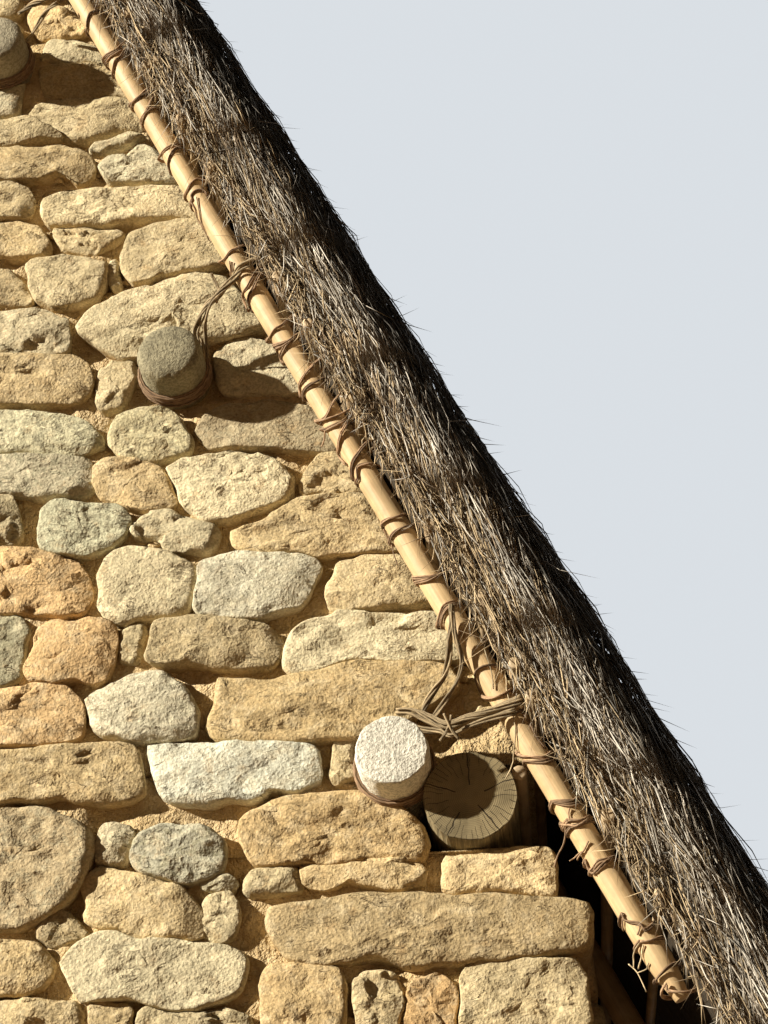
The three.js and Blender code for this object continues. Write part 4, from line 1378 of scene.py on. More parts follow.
def add_poles(surface, ends, radius, sides, rows, tint, seed, bend, knots=0.0, stub=0.0):
    """Poles: circles carried along nearly straight lines between two ends, which bow and waver a little and
    swell slightly at the knots, where the trait is high. The sawn ends are flat; stub draws in the lower one."""
    starts, stops = np.reshape(ends, (-1, 2, 3)).swapaxes(0, 1)
    copies = len(starts)
    rng = default_rng(seed)
    share = np.concatenate([[0, 1e-4], np.linspace(4e-4, 1 - 4e-4, rows - 4), [1 - 1e-4, 1]])
    saw = np.concatenate([[0.6, 0.95], np.ones(rows - 4), [0.95, 0.6]]) * (1 - stub * np.clip(share * 60 - 59, 0, 1))
    edge = 0.5 - np.abs(share - 0.5)
    length = np.linalg.norm(stops - starts, axis=-1)[:, None]
    path = starts[:, None] + (stops - starts)[:, None] * share[None, :, None]
    code = rng.uniform(0, 100, (copies, 1))
    for axis in range(3):
        waver = wander(share[None] * length * 1.6 + code, seed + axis)
        waver += 0.4 * wander(share[None] * length * 5 + code, seed)
        path[..., axis] += bend * waver * np.minimum(edge * 8, 1)
    knot_share = rng.uniform(0, 1, (copies, 6))
    near = np.exp(-(((share[None, :, None] - knot_share[:, None]) * length[..., None] / 0.022) ** 2))
    knot_turn = rng.uniform(0, 2 * math.pi, (copies, 6))
    turn = full_turn(sides)
    facing = np.maximum(np.cos(turn - knot_turn[..., None]), 0) ** 3
    swelling = np.einsum("crk,cks->crs", near, facing) * knots
    grain = 1 + 0.02 * wander(turn * 2.0 + code[..., None] + share[None, :, None] * length[..., None], seed + 9)
    radii = (np.reshape(radius, (-1, 1, 1)) * grain + swelling) * saw[:, None]
    reference = unit(np.cross(stops - starts, (0.3, 0.5, 0.81)))[:, None]
    points, local = tubes(path, radii, sides, reference)
    spots = np.clip(swelling / max(knots, 1e-9), 0, 1) ** 2 if knots else 0 * radii
    traits = np.concatenate([np.zeros((copies, 1)), spots.reshape(copies, -1), np.zeros((copies, 1))], 1)
    surface.add(points, tube_faces(rows, sides), tint, traits, local + rng.uniform(-9, 9, (copies, 1, 3)))


def tints_about(tones, number, rng, spread, least=0.5):
    """Tints about one tone, or about a tone each, every one a little lighter or darker."""
    light = np.clip(rng.normal(1, spread, (number, 1)), least, 1.6)
    return np.concatenate([np.clip(np.array(tones) * light, 0.02, 0.85), np.zeros((number, 1))], 1)


# Sticks between the battens, whose ends show beside the pole: down the slope, out from the rafters, radius
SHOWN_STICKS = ((1.918, 0.069, 0.017), (2.122, 0.072, 0.013), (2.352, 0.045, 0.018), (2.711, 0.084, 0.0135),
                (3.132, 0.047, 0.014), (3.247, 0.075, 0.0175), (3.385, 0.068, 0.015), (4.309, 0.040, 0.016))
STICK_END = 3.172


def stick_places(seed):
    """The photographed sticks, and others like them up and down the rest of the slope."""
    rng = default_rng(seed)
    others = [(s + rng.normal(0, 0.02), rng.uniform(0.045, 0.085), rng.uniform(0.011, 0.016))
              for s in BATTENS + 0.21 if s < 1.7 or s > 3.4]
    return np.array([*SHOWN_STICKS, *others])


def roof_frame(hand):
    """Rafters, battens and sticks of one slope."""
    surface = Surface()
    sticks = stick_places(41)
    rafters = [[(RAFTER_TOP, y, 0), (RAFTER_FOOT, y, 0)] for y in RAFTER_PLACES]
    battens = [[(s, -BATTEN_END, BATTEN_HEIGHT), (s, BATTEN_END, BATTEN_HEIGHT)] for s in BATTENS]
    stick_ends = [[(s, -STICK_END, t), (s, STICK_END, t)] for s, t, _ in sticks]
    for ends, radius, sides, rows, seed in (
        (rafters, RAFTER_RADIUS, 12, 20, 42),
        (battens, BATTEN_RADIUS, 9, 18, 43),
        (stick_ends, sticks[:, 2], 9, 13, 44),
    ):
        tints = tints_about(DRY_POLE_TINT[:3], len(ends), default_rng(seed), 0.08)
        add_poles(surface, on_slope(ends, hand), radius, sides, rows, tints, seed + hand, 0.0025, 0.002)
    surface.build(f"{SIDES[hand]}_roof_frame", POLE, "peeled_pole", [f"{SIDES[hand]}_rafters_and_battens"])


# The photographed pole is thinner than a rafter and lies a little closer to the gable: along the house, out from
# the rafters, and radius
SHOWN_POLE_Y, SHOWN_POLE_T, SHOWN_POLE_RADIUS = -3.090, -0.0103, 0.0305


def verge_poles(hand):
    """The peeled poles outside the gables, that the thatch is lashed to."""
    for y in (-VERGE_POLE_Y, VERGE_POLE_Y):
        shown = hand == 1 and y < 0
        y, t, radius, sides, rows, seed = (SHOWN_POLE_Y, SHOWN_POLE_T, SHOWN_POLE_RADIUS, 20, 170, 51) if shown else (
            y, -VERGE_DROP, RAFTER_RADIUS, 12, 44, 52)
        ends = on_slope([(RAFTER_TOP, y, t), (RAFTER_FOOT, y, t)], hand)
        surface = Surface()
        add_poles(surface, ends, radius, sides, rows, POLE_TINT, seed, 0.0040, 0.0035, 0.45)
        name = f"{GABLES[y * hand < 0]}_{SIDES[hand]}"
        surface.build(f"{name}_pole", POLE, "peeled_pole", [f"{name}_verge_pole"])


def wall_plate(hand):
    """A wall plate: circles along a level log, and circles that shrink to the heart on its sawn ends. The body
    has furrows along the grain; the ends have splits that open towards the rim."""
    surface = Surface()
    columns = 80 if hand == 1 else 36
    across, up = circle(columns).T
    end_share = np.array((0.12, 0.26, 0.4, 0.54, 0.67, 0.78, 0.87, 0.93, 0.97, 1.0))
    body = np.array((0.004, 0.012, 0.03, 0.06, 0.10, 0.15, 0.21, 0.30, 0.45, 0.8, 1.4))
    half = np.concatenate([0 * end_share, body]) - PLATE_END
    y = np.concatenate([half, -half[::-1]])[:, None]
    share = np.concatenate([end_share, np.ones(2 * len(body)), end_share[::-1]])[:, None]
    place = stacked(across * 4, up * 4, y * 1.5)
    radius = PLATE_RADIUS * (0.985 + 0.018 * smooth_noise(place, 61) + 0.012 * smooth_noise(place * (3, 3, 1), 62))
    radius = radius * share
    sawn = np.abs(y) > PLATE_END - 0.001
    dent = (share < 1) * 0.0035 * smooth_noise(place * (1.5, 1.5, 1), 63) * share
    depth = y - np.sign(y) * (np.abs(dent) + np.where(sawn, 0.0, 0.001))
    local = stacked(radius * across, radius * up, y)[:, ::-1]
    points = stacked(PLATE_X + radius * across, depth, PLATE_Z + radius * up)[:, ::-1]
    closed = capped(points, (PLATE_X, -PLATE_END, PLATE_Z), (PLATE_X, PLATE_END, PLATE_Z))
    trait = np.concatenate([[1], np.repeat(sawn | (share < 1), columns), [1]])
    surface.add(closed if hand == 1 else half_turn(closed), tube_faces(len(y), columns), OLD_WOOD_TINT,
                trait[None], capped(local, (0, 0, -PLATE_END), (0, 0, PLATE_END)))
    surface.build(f"{SIDES[hand]}_wall_plate_log", LOG, "log", [f"{SIDES[hand]}_wall_plate"])


def small_timbers():
    """The eave poles, which lie between the wall plates and the rafters, and the ridge pole."""
    x, z = EAVE_POLE_PLACE
    for hand in (1, -1):
        surface = Surface()
        add_poles(surface, [(hand * x, -EAVE_POLE_END, z), (hand * x, EAVE_POLE_END, z)], EAVE_POLE_RADIUS, 12, 40,
                  DRY_POLE_TINT, 65, 0.0015)
        surface.build(f"{SIDES[hand]}_eave_rail", POLE, "peeled_pole", [f"{SIDES[hand]}_eave_pole"])
    surface = Surface()
    add_poles(surface, [(0, -RIDGE_POLE_END, RIDGE_POLE_Z), (0, RIDGE_POLE_END, RIDGE_POLE_Z)], RIDGE_POLE_RADIUS,
              16, 40, OLD_WOOD_TINT, 66, 0.002)
    surface.build("ridge_log", LOG, "log", ["ridge_pole"])


PEG_TONES = ((0.80, 0.76, 0.65, 0), (0.32, 0.285, 0.19, 0), (0.36, 0.32, 0.23, 0))
PEG_DOMES = (0.003, 0.022, 0.018)
PEG_TAIL = PEG_OUT + PEG_IN - 0.001


def peg_stone_shape(row, columns, seed):
    """A peg about its own axis: circles from the middle of its rounded front end to its tail in the wall."""
    end_share = np.sin(np.linspace(0, math.pi / 2, 10)[1:])
    dome = PEG_DOMES[row]
    end_depth = dome * (1 - np.sqrt(1 - 0.94 * end_share**4))
    side = np.array((0.006, 0.014, 0.03, 0.055, 0.085, 0.12, 0.16, 0.24, PEG_OUT + PEG_IN - 0.004))
    share = np.concatenate([end_share * 0.965, [0.985], np.ones(len(side) - 1), [0.5]])[:, None]
    depth = np.concatenate([end_depth, dome + side, [PEG_TAIL]])[:, None]
    across, up = circle(columns).T
    rough = 0.0020 * rough_noise(stacked(share * across, share * up, depth * 9) * 5.0, seed, 4)
    radius = PEG_RADIUS * share + rough * (share > 0.9)
    level = depth + np.abs(rough) * (depth < dome + 0.01)
    return stacked(radius * across, level, radius * up)


def pegs(front):
    """All six pegs of one gable."""
    for hand in (1, -1):
        for row in range(PEG_ROWS):
            rings = peg_stone_shape(row, 72 if front and hand == 1 else 28, 71 + row + 7 * hand)
            x, z = peg_place(row, hand)
            face = HALF_LENGTH - (z - PLATE_BED) * BATTER + PEG_OUT
            points, faces = capped(rings, (0, 0, 0), (0, PEG_TAIL, 0)) + (x, -face, z), tube_faces(*rings.shape[:2])
            if front:
                faces = [array[:, ::-1] for array in faces]
            else:
                points = points * MIRROR
            surface = Surface()
            surface.add(points, faces, PEG_TONES[row])
            name = f"{GABLES[front]}_{SIDES[hand]}_peg"
            surface.build(f"{name}_stone_{row + 1}", PEG, "peg_stone", [f"{name}_{row + 1}"])


# Ropes

SHOWN_CORD_RADIUS, SHOWN_TIE_RADIUS, CORD_RADIUS = 0.0026, 0.0030, 0.0042
CORD_TINT = (0.33, 0.215, 0.13)
TIE_TINT = (0.31, 0.235, 0.14)
WISP_TINT = (0.58, 0.46, 0.29)
# The model's pole lies this many pixels to the right of the photographed one, and its cords with it
POLE_SHIFT = 6.5
# Cords round the photographed pole, in pixels across and down by turns: each runs over the front of the pole
# and closes behind it
SHOWN_WRAPS = (
    (81, 27, 83, 15, 88, 12, 99, 15, 103, 19), (97, 59, 107, 52, 113, 47, 121, 43), (100, 61, 109, 53, 116,
    50), (107, 77, 107, 69, 109, 61, 115, 56, 124, 46), (123, 105, 127, 102, 133, 98, 145, 95), (126, 104,
    133, 97, 137, 93, 148, 89), (137, 127, 135, 121, 137, 116, 141, 111, 147, 108), (136, 122, 140, 111,
    145, 99, 151, 93), (152, 159, 155, 155, 160, 149, 170, 145), (164, 172, 162, 165, 163, 159, 171, 148),
    (179, 199, 181, 191, 185, 183, 193, 179), (186, 199, 185, 195, 190, 190, 197, 191, 202, 195), (213, 262,
    219, 259, 225, 251, 230, 249, 242, 247), (242, 311, 237, 299, 237, 293, 242, 286, 250, 271, 255, 266),
    (247, 312, 243, 304, 243, 296, 248, 286, 259, 270), (260, 341, 264, 336, 269, 329, 277, 324, 291, 316),
    (267, 345, 275, 343, 284, 339, 293, 333, 303, 328), (270, 348, 279, 345, 290, 338, 299, 331), (277, 364,
    275, 359, 276, 352, 280, 345, 293, 337), (294, 396, 293, 388, 295, 380, 300, 372, 307, 364, 323, 355),
    (297, 399, 297, 392, 303, 385, 311, 381, 319, 379), (316, 420, 320, 416, 325, 405, 340, 392), (309, 421,
    320, 419, 333, 415, 351, 409), (314, 429, 320, 429, 333, 423, 345, 420, 351, 415), (340, 464, 333, 456,
    332, 447, 333, 439, 345, 420), (347, 480, 345, 469, 347, 460, 353, 451, 368, 440), (352, 478, 351, 467,
    359, 464, 373, 467), (376, 523, 383, 519, 391, 517), (383, 543, 384, 539, 387, 533, 397, 527), (407,
    577, 418, 577, 429, 575), (409, 582, 417, 581, 426, 578), (431, 627, 433, 619, 435, 612, 439, 605),
    (435, 627, 435, 620, 442, 607), (475, 693, 471, 684, 469, 676, 472, 669), (476, 696, 487, 698, 499,
    694), (471, 717, 485, 712, 501, 707, 511, 704), (481, 720, 493, 716, 507, 713, 515, 711), (510, 752,
    517, 756, 530, 757, 539, 757), (518, 761, 529, 762, 541, 761), (546, 801, 561, 801, 569, 799), (547,
    802, 560, 805, 570, 804), (562, 820, 575, 820, 583, 817), (565, 827, 575, 824, 582, 821), (554, 823,
    563, 825, 572, 826), (579, 860, 583, 869, 589, 873), (588, 868, 593, 862, 600, 860), (616, 913, 620,
    921, 633, 924, 640, 930), (634, 941, 643, 941, 654, 938), (650, 980, 656, 973, 664, 966), (660, 984,
    663, 991, 684, 992),
)
# Ends of cords that stray and hang, and pale straws caught under them, in pixels too
SHOWN_TAILS = (
    (88, 12, 89, 8, 92, 1), (190, 197, 191, 203, 193, 213, 195, 223, 203, 241), (185, 203, 189, 211, 191,
    219, 197, 230), (223, 261, 224, 270, 225, 278), (226, 262, 226, 270, 228, 277), (319, 430, 318, 438,
    315, 447), (377, 529, 381, 538, 383, 545), (385, 545, 387, 553, 391, 565), (514, 709, 523, 723, 530,
    737, 539, 748), (561, 820, 559, 833, 557, 844, 551, 856, 548, 867), (563, 808, 562, 813, 563, 820),
    (582, 841, 577, 851, 571, 860), (563, 861, 569, 857, 575, 852), (587, 864, 588, 869, 588, 875), (617,
    914, 616, 922, 617, 931), (633, 924, 633, 929, 631, 935),
)
SHOWN_WISPS = (
    (462, 618, 473, 636, 480, 656, 485, 672, 487, 689), (495, 663, 500, 681, 500, 691, 507, 715, 509, 737,
    507, 760, 499, 779), (633, 943, 627, 958, 627, 968), (637, 945, 635, 957, 632, 969), (642, 963, 640,
    969, 631, 973), (622, 964, 631, 973, 640, 992),
)


def add_cords(surface, paths, radius, sides, tint, spread, tint_seed, seed):
    """Cords: small circles carried along paths, a little thicker and thinner along their length."""
    copies, rows = np.shape(paths)[:2]
    code = default_rng(seed).uniform(0, 90, (copies, 1))
    radii = radius * (1 + 0.2 * wander(np.linspace(0, rows / 3, rows) + code, seed))
    points, local = tubes(np.array(paths), radii, sides, np.array((0.21, 0.37, 0.9)))
    tints = tints_about(tint, copies, default_rng(tint_seed), spread, 0.55)
    surface.add(points, tube_faces(rows, sides), tints, 0.0, local + code[:, :, None])


def round_pole(pixels, reach):
    """Where the rays through pixels meet a round bar of radius reach about the photographed pole's axis, or pass
    it most closely: distance down the slope, turn about the axis from its front, and distance from the axis."""
    start = in_slope(CAMERA_PLACE)
    rays = in_slope(CAMERA_PLACE + pixel_rays(np.reshape(pixels, (-1, 2)) + (POLE_SHIFT, 0))) - start
    across, ray = start[1:] - (SHOWN_POLE_Y, SHOWN_POLE_T), rays[:, 1:]
    square, half = np.sum(ray * ray, -1), ray @ across
    under = np.maximum(half**2 - square * (across @ across - reach**2), 0)
    met = start + rays * ((-half - np.sqrt(under)) / square)[:, None]
    y, t = met[:, 1] - SHOWN_POLE_Y, met[:, 2] - SHOWN_POLE_T
    return stacked(met[:, 0], np.arctan2(t, -y), np.hypot(y, t))


def from_pole(coils):
    """From distance down the slope, turn and distance from the photographed pole's axis to the slope's frame."""
    down, turn, reach = np.moveaxis(coils, -1, 0)
    return stacked(down, SHOWN_POLE_Y - reach * np.cos(turn), SHOWN_POLE_T + reach * np.sin(turn))


def traced_lashings(surface, cord, seed):
    """The photographed cords: a smooth line through the traced points in turns about the pole, carried on behind
    the pole to its own start, with two cords that twist slowly about that line."""
    rng = default_rng(seed)
    paths = []
    for pixels in SHOWN_WRAPS:
        front = round_pole(pixels, SHOWN_POLE_RADIUS + cord * 0.8)
        first, last = front[0], front[-1]
        whole = first + (0, 2 * math.pi if last[1] > first[1] else -2 * math.pi, 0)
        back = last + (whole - last) * np.array([[0.25], [0.5], [0.75]])
        back[:, 2] = SHOWN_POLE_RADIUS + cord
        line = spline(np.concatenate([front, back, [whole]]), 26)
        twist = rng.uniform(0, 6) + np.linspace(0, 1, len(line)) * rng.uniform(2, 7)
        for half in (0, math.pi):
            off = stacked(np.cos(twist + half), 0, 0.5 + 0.5 * np.sin(twist + half)) * cord * 1.1
            paths.append(from_pole(line + off + (rng.normal(0, 0.0008), 0, 0)))
    add_cords(surface, on_slope(paths), cord, 5, CORD_TINT, 0.3, seed, seed)
    for group, radius, tint in ((SHOWN_TAILS, cord * 0.8, CORD_TINT), (SHOWN_WISPS, 0.0017, WISP_TINT)):
        lines = [from_pole(spline(round_pole(pixels, SHOWN_POLE_RADIUS + 0.004), 14)) for pixels in group]
        add_cords(surface, on_slope(lines), radius, 4, tint, 0.2, seed, seed + 1)


def lashings(hand, front):
    """All the lashings of one verge pole. On the poles that the photograph doesn't show they are coils round the
    pole's axis, two to four turns at each batten and between, that bulge over the battens."""
    name = f"{GABLES[front]}_{SIDES[hand]}_lashings"
    surface = Surface()
    if front and hand == 1:
        traced_lashings(surface, SHOWN_CORD_RADIUS, 83)
        surface.build(name, ROPE, "rope")
        return
    rng = default_rng(81 + hand + 5 * front)
    along = -hand * VERGE_POLE_Y if front else hand * VERGE_POLE_Y
    places = np.concatenate([BATTENS, BATTENS + 0.2])
    share = np.linspace(0, 1, 34)[None]
    code, turns, lean = rng.uniform(0, 50, (3, len(places), 1)) * [[[1]], [[0.04]], [[0.0002]]]
    turn = 2 * math.pi * (turns + 1.5) * share + code
    bulge = 0.030 * np.clip(np.cos(turn), 0, 1) ** 2 * (0.5 + 0.5 * wander(share * 4 + code, 82))
    reach = 0.0395 + bulge + 0.0015 * wander(share * 20 + code, 83)
    down = places[:, None] + 0.045 * (share - 0.5) + lean * np.cos(turn + code)
    down = down + 0.004 * wander(share * 12 + code, 84)
    paths = stacked(down, along + reach * np.sin(turn), -VERGE_DROP + reach * np.cos(turn))
    add_cords(surface, on_slope(paths, hand), CORD_RADIUS, 4, CORD_TINT, 0.25, 84, 85)
    surface.build(name, ROPE, "rope")


def spline(points, rows):
    """A smooth path through points: the usual cubic blend of each four neighbours (Catmull-Rom)."""
    points = np.asarray(points, float)
    padded = np.concatenate([2 * points[:1] - points[1:2], points, 2 * points[-1:] - points[-2:-1]])
    place = np.linspace(0, len(points) - 1.000001, rows)
    first = place.astype(int)
    t = (place - first)[:, None]
    p0, p1, p2, p3 = (padded[first + i] for i in range(4))
    bend, twist = 2 * p0 - 5 * p1 + 4 * p2 - p3, 3 * p1 - p0 - 3 * p2 + p3
    return 0.5 * (2 * p1 + (p2 - p0) * t + bend * t**2 + twist * t**3)


def bundle_paths(centre, strands, radius, twist, seed):
    """Strands twisted round a centre line: each keeps its place in the bundle's section while the section turns
    along the line and frays a little."""
    rng = default_rng(seed)
    along = unit(np.gradient(centre, axis=0))
    first = unit(np.cross(along, (0.31, 0.9, 0.3)))
    second = np.cross(along, first)
    share = np.linspace(0, 1, len(centre))
    turn = (rng.uniform(0, 2 * math.pi, strands)[:, None] + twist * share)[..., None]
    reach = radius * np.sqrt(rng.uniform(0.1, 1, strands))[:, None]
    reach = (reach * (1 + 0.7 * wander(share * 5 + rng.uniform(0, 60, (strands, 1)), seed)))[..., None]
    return centre + (np.cos(turn) * first * reach + np.sin(turn) * second * reach)


def ring_paths(x, y, z, turns, reach, spread, rows, seed):
    """A rope wound round a peg: a helix about the peg's level axis, with turns that ride up on one another."""
    share = np.linspace(0, 1, rows)
    turn = 2 * math.pi * turns * share + 1.1
    code = np.array([0.0, 31.0])[:, None]
    radius = reach + 0.004 * wander(share * turns * 1.7 + code, seed) + np.array([[0], [0.005]])
    depth = y + spread * (share - 0.5) + 0.006 * wander(share * turns * 1.3 + code, seed + 1)
    return stacked(x + radius * np.cos(turn), depth, z + radius * np.sin(turn))


# Ropes of the photographed pegs in pixels: the line of each bundle, how far along the house its two ends lie, and
# its strands, thickness and twist
SHOWN_BUNDLES = (
    (
        ((397, 713, 413, 712, 430, 719, 447, 725, 466, 718, 486, 712, 505, 705, 522, 698), (-3.06, -3.14),
         9, 0.009, 5),
        ((404, 722, 420, 729, 440, 731, 452, 735, 470, 726, 490, 719, 516, 712), (-3.05, -3.14), 4, 0.006,
         4),
        ((420, 716, 425, 706, 436, 692, 446, 678, 449, 660, 448, 640, 449, 622, 450, 604), (-3.06, -3.15),
         6, 0.008, 7),
        ((434, 716, 447, 697, 458, 680, 462, 660, 456, 636, 452, 612), (-3.08, -3.16), 4, 0.006, 5),
        ((443, 714, 447, 722, 452, 731, 459, 739), (-3.135, -3.12), 3, 0.004, 1),
        ((452, 715, 450, 724, 446, 733, 440, 741), (-3.135, -3.12), 2, 0.003, 1),
    ),
    (
        ((203, 372, 203, 356, 200, 343, 196, 332, 201, 318, 208, 305, 217, 297, 225, 287, 235, 275,
          243, 266, 262, 257), (-2.98, -3.15), 7, 0.008, 11),
        ((204, 368, 206, 350, 206, 334, 207, 321, 212, 304, 221, 292, 238, 277), (-2.98, -3.15), 3, 0.006, 5),
        ((216, 303, 218, 290, 211, 273), (-3.07, -3.09), 2, 0.003, 2),
    ),
    (
        ((18, 12, 30, 6, 44, 2, 56, -8, 66, -20), (-3.0, -3.13), 6, 0.008, 6),
        ((26, 40, 38, 24, 48, 12, 58, 2), (-3.0, -3.13), 3, 0.007, 5),
    ),
)


def peg_tie(surface, row, hand, front):
    """Turns of rope round a peg's neck, and a twisted bundle from them up to the verge pole."""
    x, z = peg_place(row, hand)
    shown = front and hand == 1
    face = HALF_LENGTH - (z - PLATE_BED) * BATTER
    seed = 91 + row + 3 * hand
    rings = ring_paths(x, -face - 0.026, z, 5, PEG_RADIUS + 0.004, 0.036, 110 if shown else 60, seed)
    if shown:
        for pixels, reach, strands, radius, twist in SHOWN_BUNDLES[row]:
            centre = spline(through_pixels(pixels, np.linspace(*reach, len(pixels) // 2)), 2 * len(pixels))
            paths = bundle_paths(centre, strands, radius, twist, seed)
            add_cords(surface, paths, SHOWN_TIE_RADIUS, 5, TIE_TINT, 0.25, seed, seed)
            seed += 1
    else:
        outward = np.array((hand * SIN, 0, COS))
        start = np.array((x, -face - 0.05, z)) + outward * (PEG_RADIUS + 0.006)
        to_pole = (slope_x(z) - abs(x)) * SIN - 0.02
        stop = np.array((x, -VERGE_POLE_Y - 0.03, z)) + outward * to_pole
        centre = spline([start, start * 0.6 + stop * 0.4 - (0, 0, 0.008), stop], 10)
        paths = bundle_paths(centre, 5, 0.010, 5, seed)
        if not front:
            paths, rings = paths * MIRROR, rings * MIRROR
        add_cords(surface, paths, CORD_RADIUS, 4, TIE_TINT, 0.12, seed, seed)
    radius, sides = (SHOWN_TIE_RADIUS, 5) if shown else (0.0040, 4)
    add_cords(surface, rings, radius, sides, CORD_TINT, 0.12, seed, seed)


def peg_ties():
    for front in (True, False):
        for hand in (1, -1):
            surface = Surface()
            for row in range(PEG_ROWS):
                peg_tie(surface, row, hand, front)
            name = f"{GABLES[front]}_{SIDES[hand]}_peg"
            surface.build(f"{name}_ropes", ROPE, "rope", [f"{name}_{row + 1}_tie" for row in range(PEG_ROWS)])


for hand in (1, -1):
    roof_frame(hand)
    verge_poles(hand)
    wall_plate(hand)
    for front in (True, False):
        lashings(hand, front)
small_timbers()
pegs(True)
pegs(False)
peg_ties()


# Thatch

STRAW_TINTS = {
    "silver": (0.57, 0.52, 0.45),
    "pale": (0.60, 0.545, 0.465),
    "grey": (0.40, 0.35, 0.285),
    "tan": (0.50, 0.38, 0.23),
    "brown": (0.24, 0.17, 0.105),
    "dark": (0.13, 0.095, 0.065),
}
LAYER_ENDS = np.array([0.05, *(BATTENS - 0.04), THATCH_EAVE - 0.01])
LAYER_LENGTHS = np.diff(LAYER_ENDS, prepend=-0.35)
LEVEL_CUT = COS / SIN
BODY_TINT = (0.30, 0.25, 0.19, 0)
BODY_IN = 0.016
# The straws of a verge, then its tangle and its strays: how many, and how thick
SHOWN_VERGE = ((14400, 0.0016), (3700, 0.0014), (1300, 0.0014))
OTHER_VERGE = ((1500, 0.0045), (260, 0.003), (80, 0.0014))


def straw_tints(number, rng, spread, **shares):
    """A tint for each straw from a few tones, each straw a little lighter or darker."""
    tones = np.array([STRAW_TINTS[name] for name in shares])
    picked = rng.choice(len(tones), number, p=np.array([*shares.values()]) / sum(shares.values()))
    return tints_about(tones[picked], number, rng, spread)


def add_straws(surface, hand, rng, roots, reaches, bends, widths, tints, keep=slice(None), short=False):
    """Straws given in a slope's frame, set in the house. keep says which of them have a place."""
    points, along = spikes(roots[keep], reaches[keep], bends[keep], widths[keep], rng, short)
    local = stacked(along * 3 + rng.uniform(0, 90, (len(points), 1)), along, along)
    surface.add(on_slope(points, hand), SHORT_SPIKE_FACES if short else SPIKE_FACES, tints[keep], along, local)


def verge_y(out):
    """Half length of the thatch at a distance out from the rafters: tucked in below, rounded at the outside."""
    return np.interp(out, VERGE_OUTLINE_T, VERGE_OUTLINE_Y)


def thatch_top(out):
    """Where the thatch starts down the slope: at the middle of the house, or at the level trim."""
    return np.maximum((0.004 - out * SIN) / COS, (RAFTER_APEX - THATCH_TRIM + out * COS) / SIN)


def thatch_body(hand):
    """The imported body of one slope: a section across the slope, from the underside round the two verges and over
    the outer face, carried down the slope in steps, one for each layer."""
    turn_t = np.array(VERGE_OUTLINE_T[1:])
    turn_y = np.array(VERGE_OUTLINE_Y[1:]) - BODY_IN
    fine_t, fine_y = (np.interp(np.linspace(0, 5, 11), np.arange(6), corners) for corners in (turn_t, turn_y))
    across = np.linspace(-turn_y[-1], turn_y[-1], 58)[1:-1]
    under = np.linspace(turn_y[0], -turn_y[0], 20)[1:-1]
    y = np.concatenate([-fine_y, across, fine_y[::-1], under])
    t = np.concatenate([fine_t, np.full(len(across), THATCH_OUTER), fine_t[::-1], np.full(len(under), THATCH_INNER)])
    stops = [thatch_top(0.2) + 0.02]
    for end in LAYER_ENDS[1:]:
        start = stops[-1]
        stops += list(np.linspace(start, end, 8)[1:-1]) + [end - 0.004, end + 0.006]
    stops = np.array(stops[:-1])[:, None]
    layer = np.clip(np.searchsorted(LAYER_ENDS, stops - 0.001), 1, len(LAYER_ENDS) - 1)
    share = np.clip((stops - LAYER_ENDS[layer - 1]) / (LAYER_ENDS[layer] - LAYER_ENDS[layer - 1]), 0, 1)
    s = np.maximum(stops, thatch_top(t) + 0.0005 * np.arange(len(stops))[:, None])
    s = s + 0.016 * wander(y * 5 + 7.7 * layer, 101) * (stops < THATCH_EAVE - 0.05)
    outer = np.clip((t - 0.1) / 0.15, 0, 1)
    lumps = 0.012 * rough_noise(stacked(s * 3.0, y * 6.0, t * 9), 102, 3)
    out = np.maximum(t - (0.014 * (1 - share ** 1.3) + 0.012) * outer + lumps * outer, THATCH_INNER)
    closed = capped(stacked(s, y * (1 - 0.004 * (1 - share) - np.abs(lumps) * 0.3), out)[:, ::-1])
    # Painted shade: the trait darkens the body deep inside the thatch, and on the verge by the pole and at its outer
    # edge.
    on_verge = np.clip((np.abs(y) - 3.04) / 0.07, 0, 1)
    dark = (1 - on_verge) * (1 - outer) + on_verge * np.interp(t, (0.06, 0.09, 0.15, 0.19), (0.8, 0.17, 0.17, 0.9))
    trait = np.concatenate([[0.5], np.tile(dark[::-1], len(stops)), [0.5]])
    surface = Surface()
    surface.add(on_slope(closed, hand), tube_faces(len(stops), len(y)), BODY_TINT, trait[None], closed)
    return surface


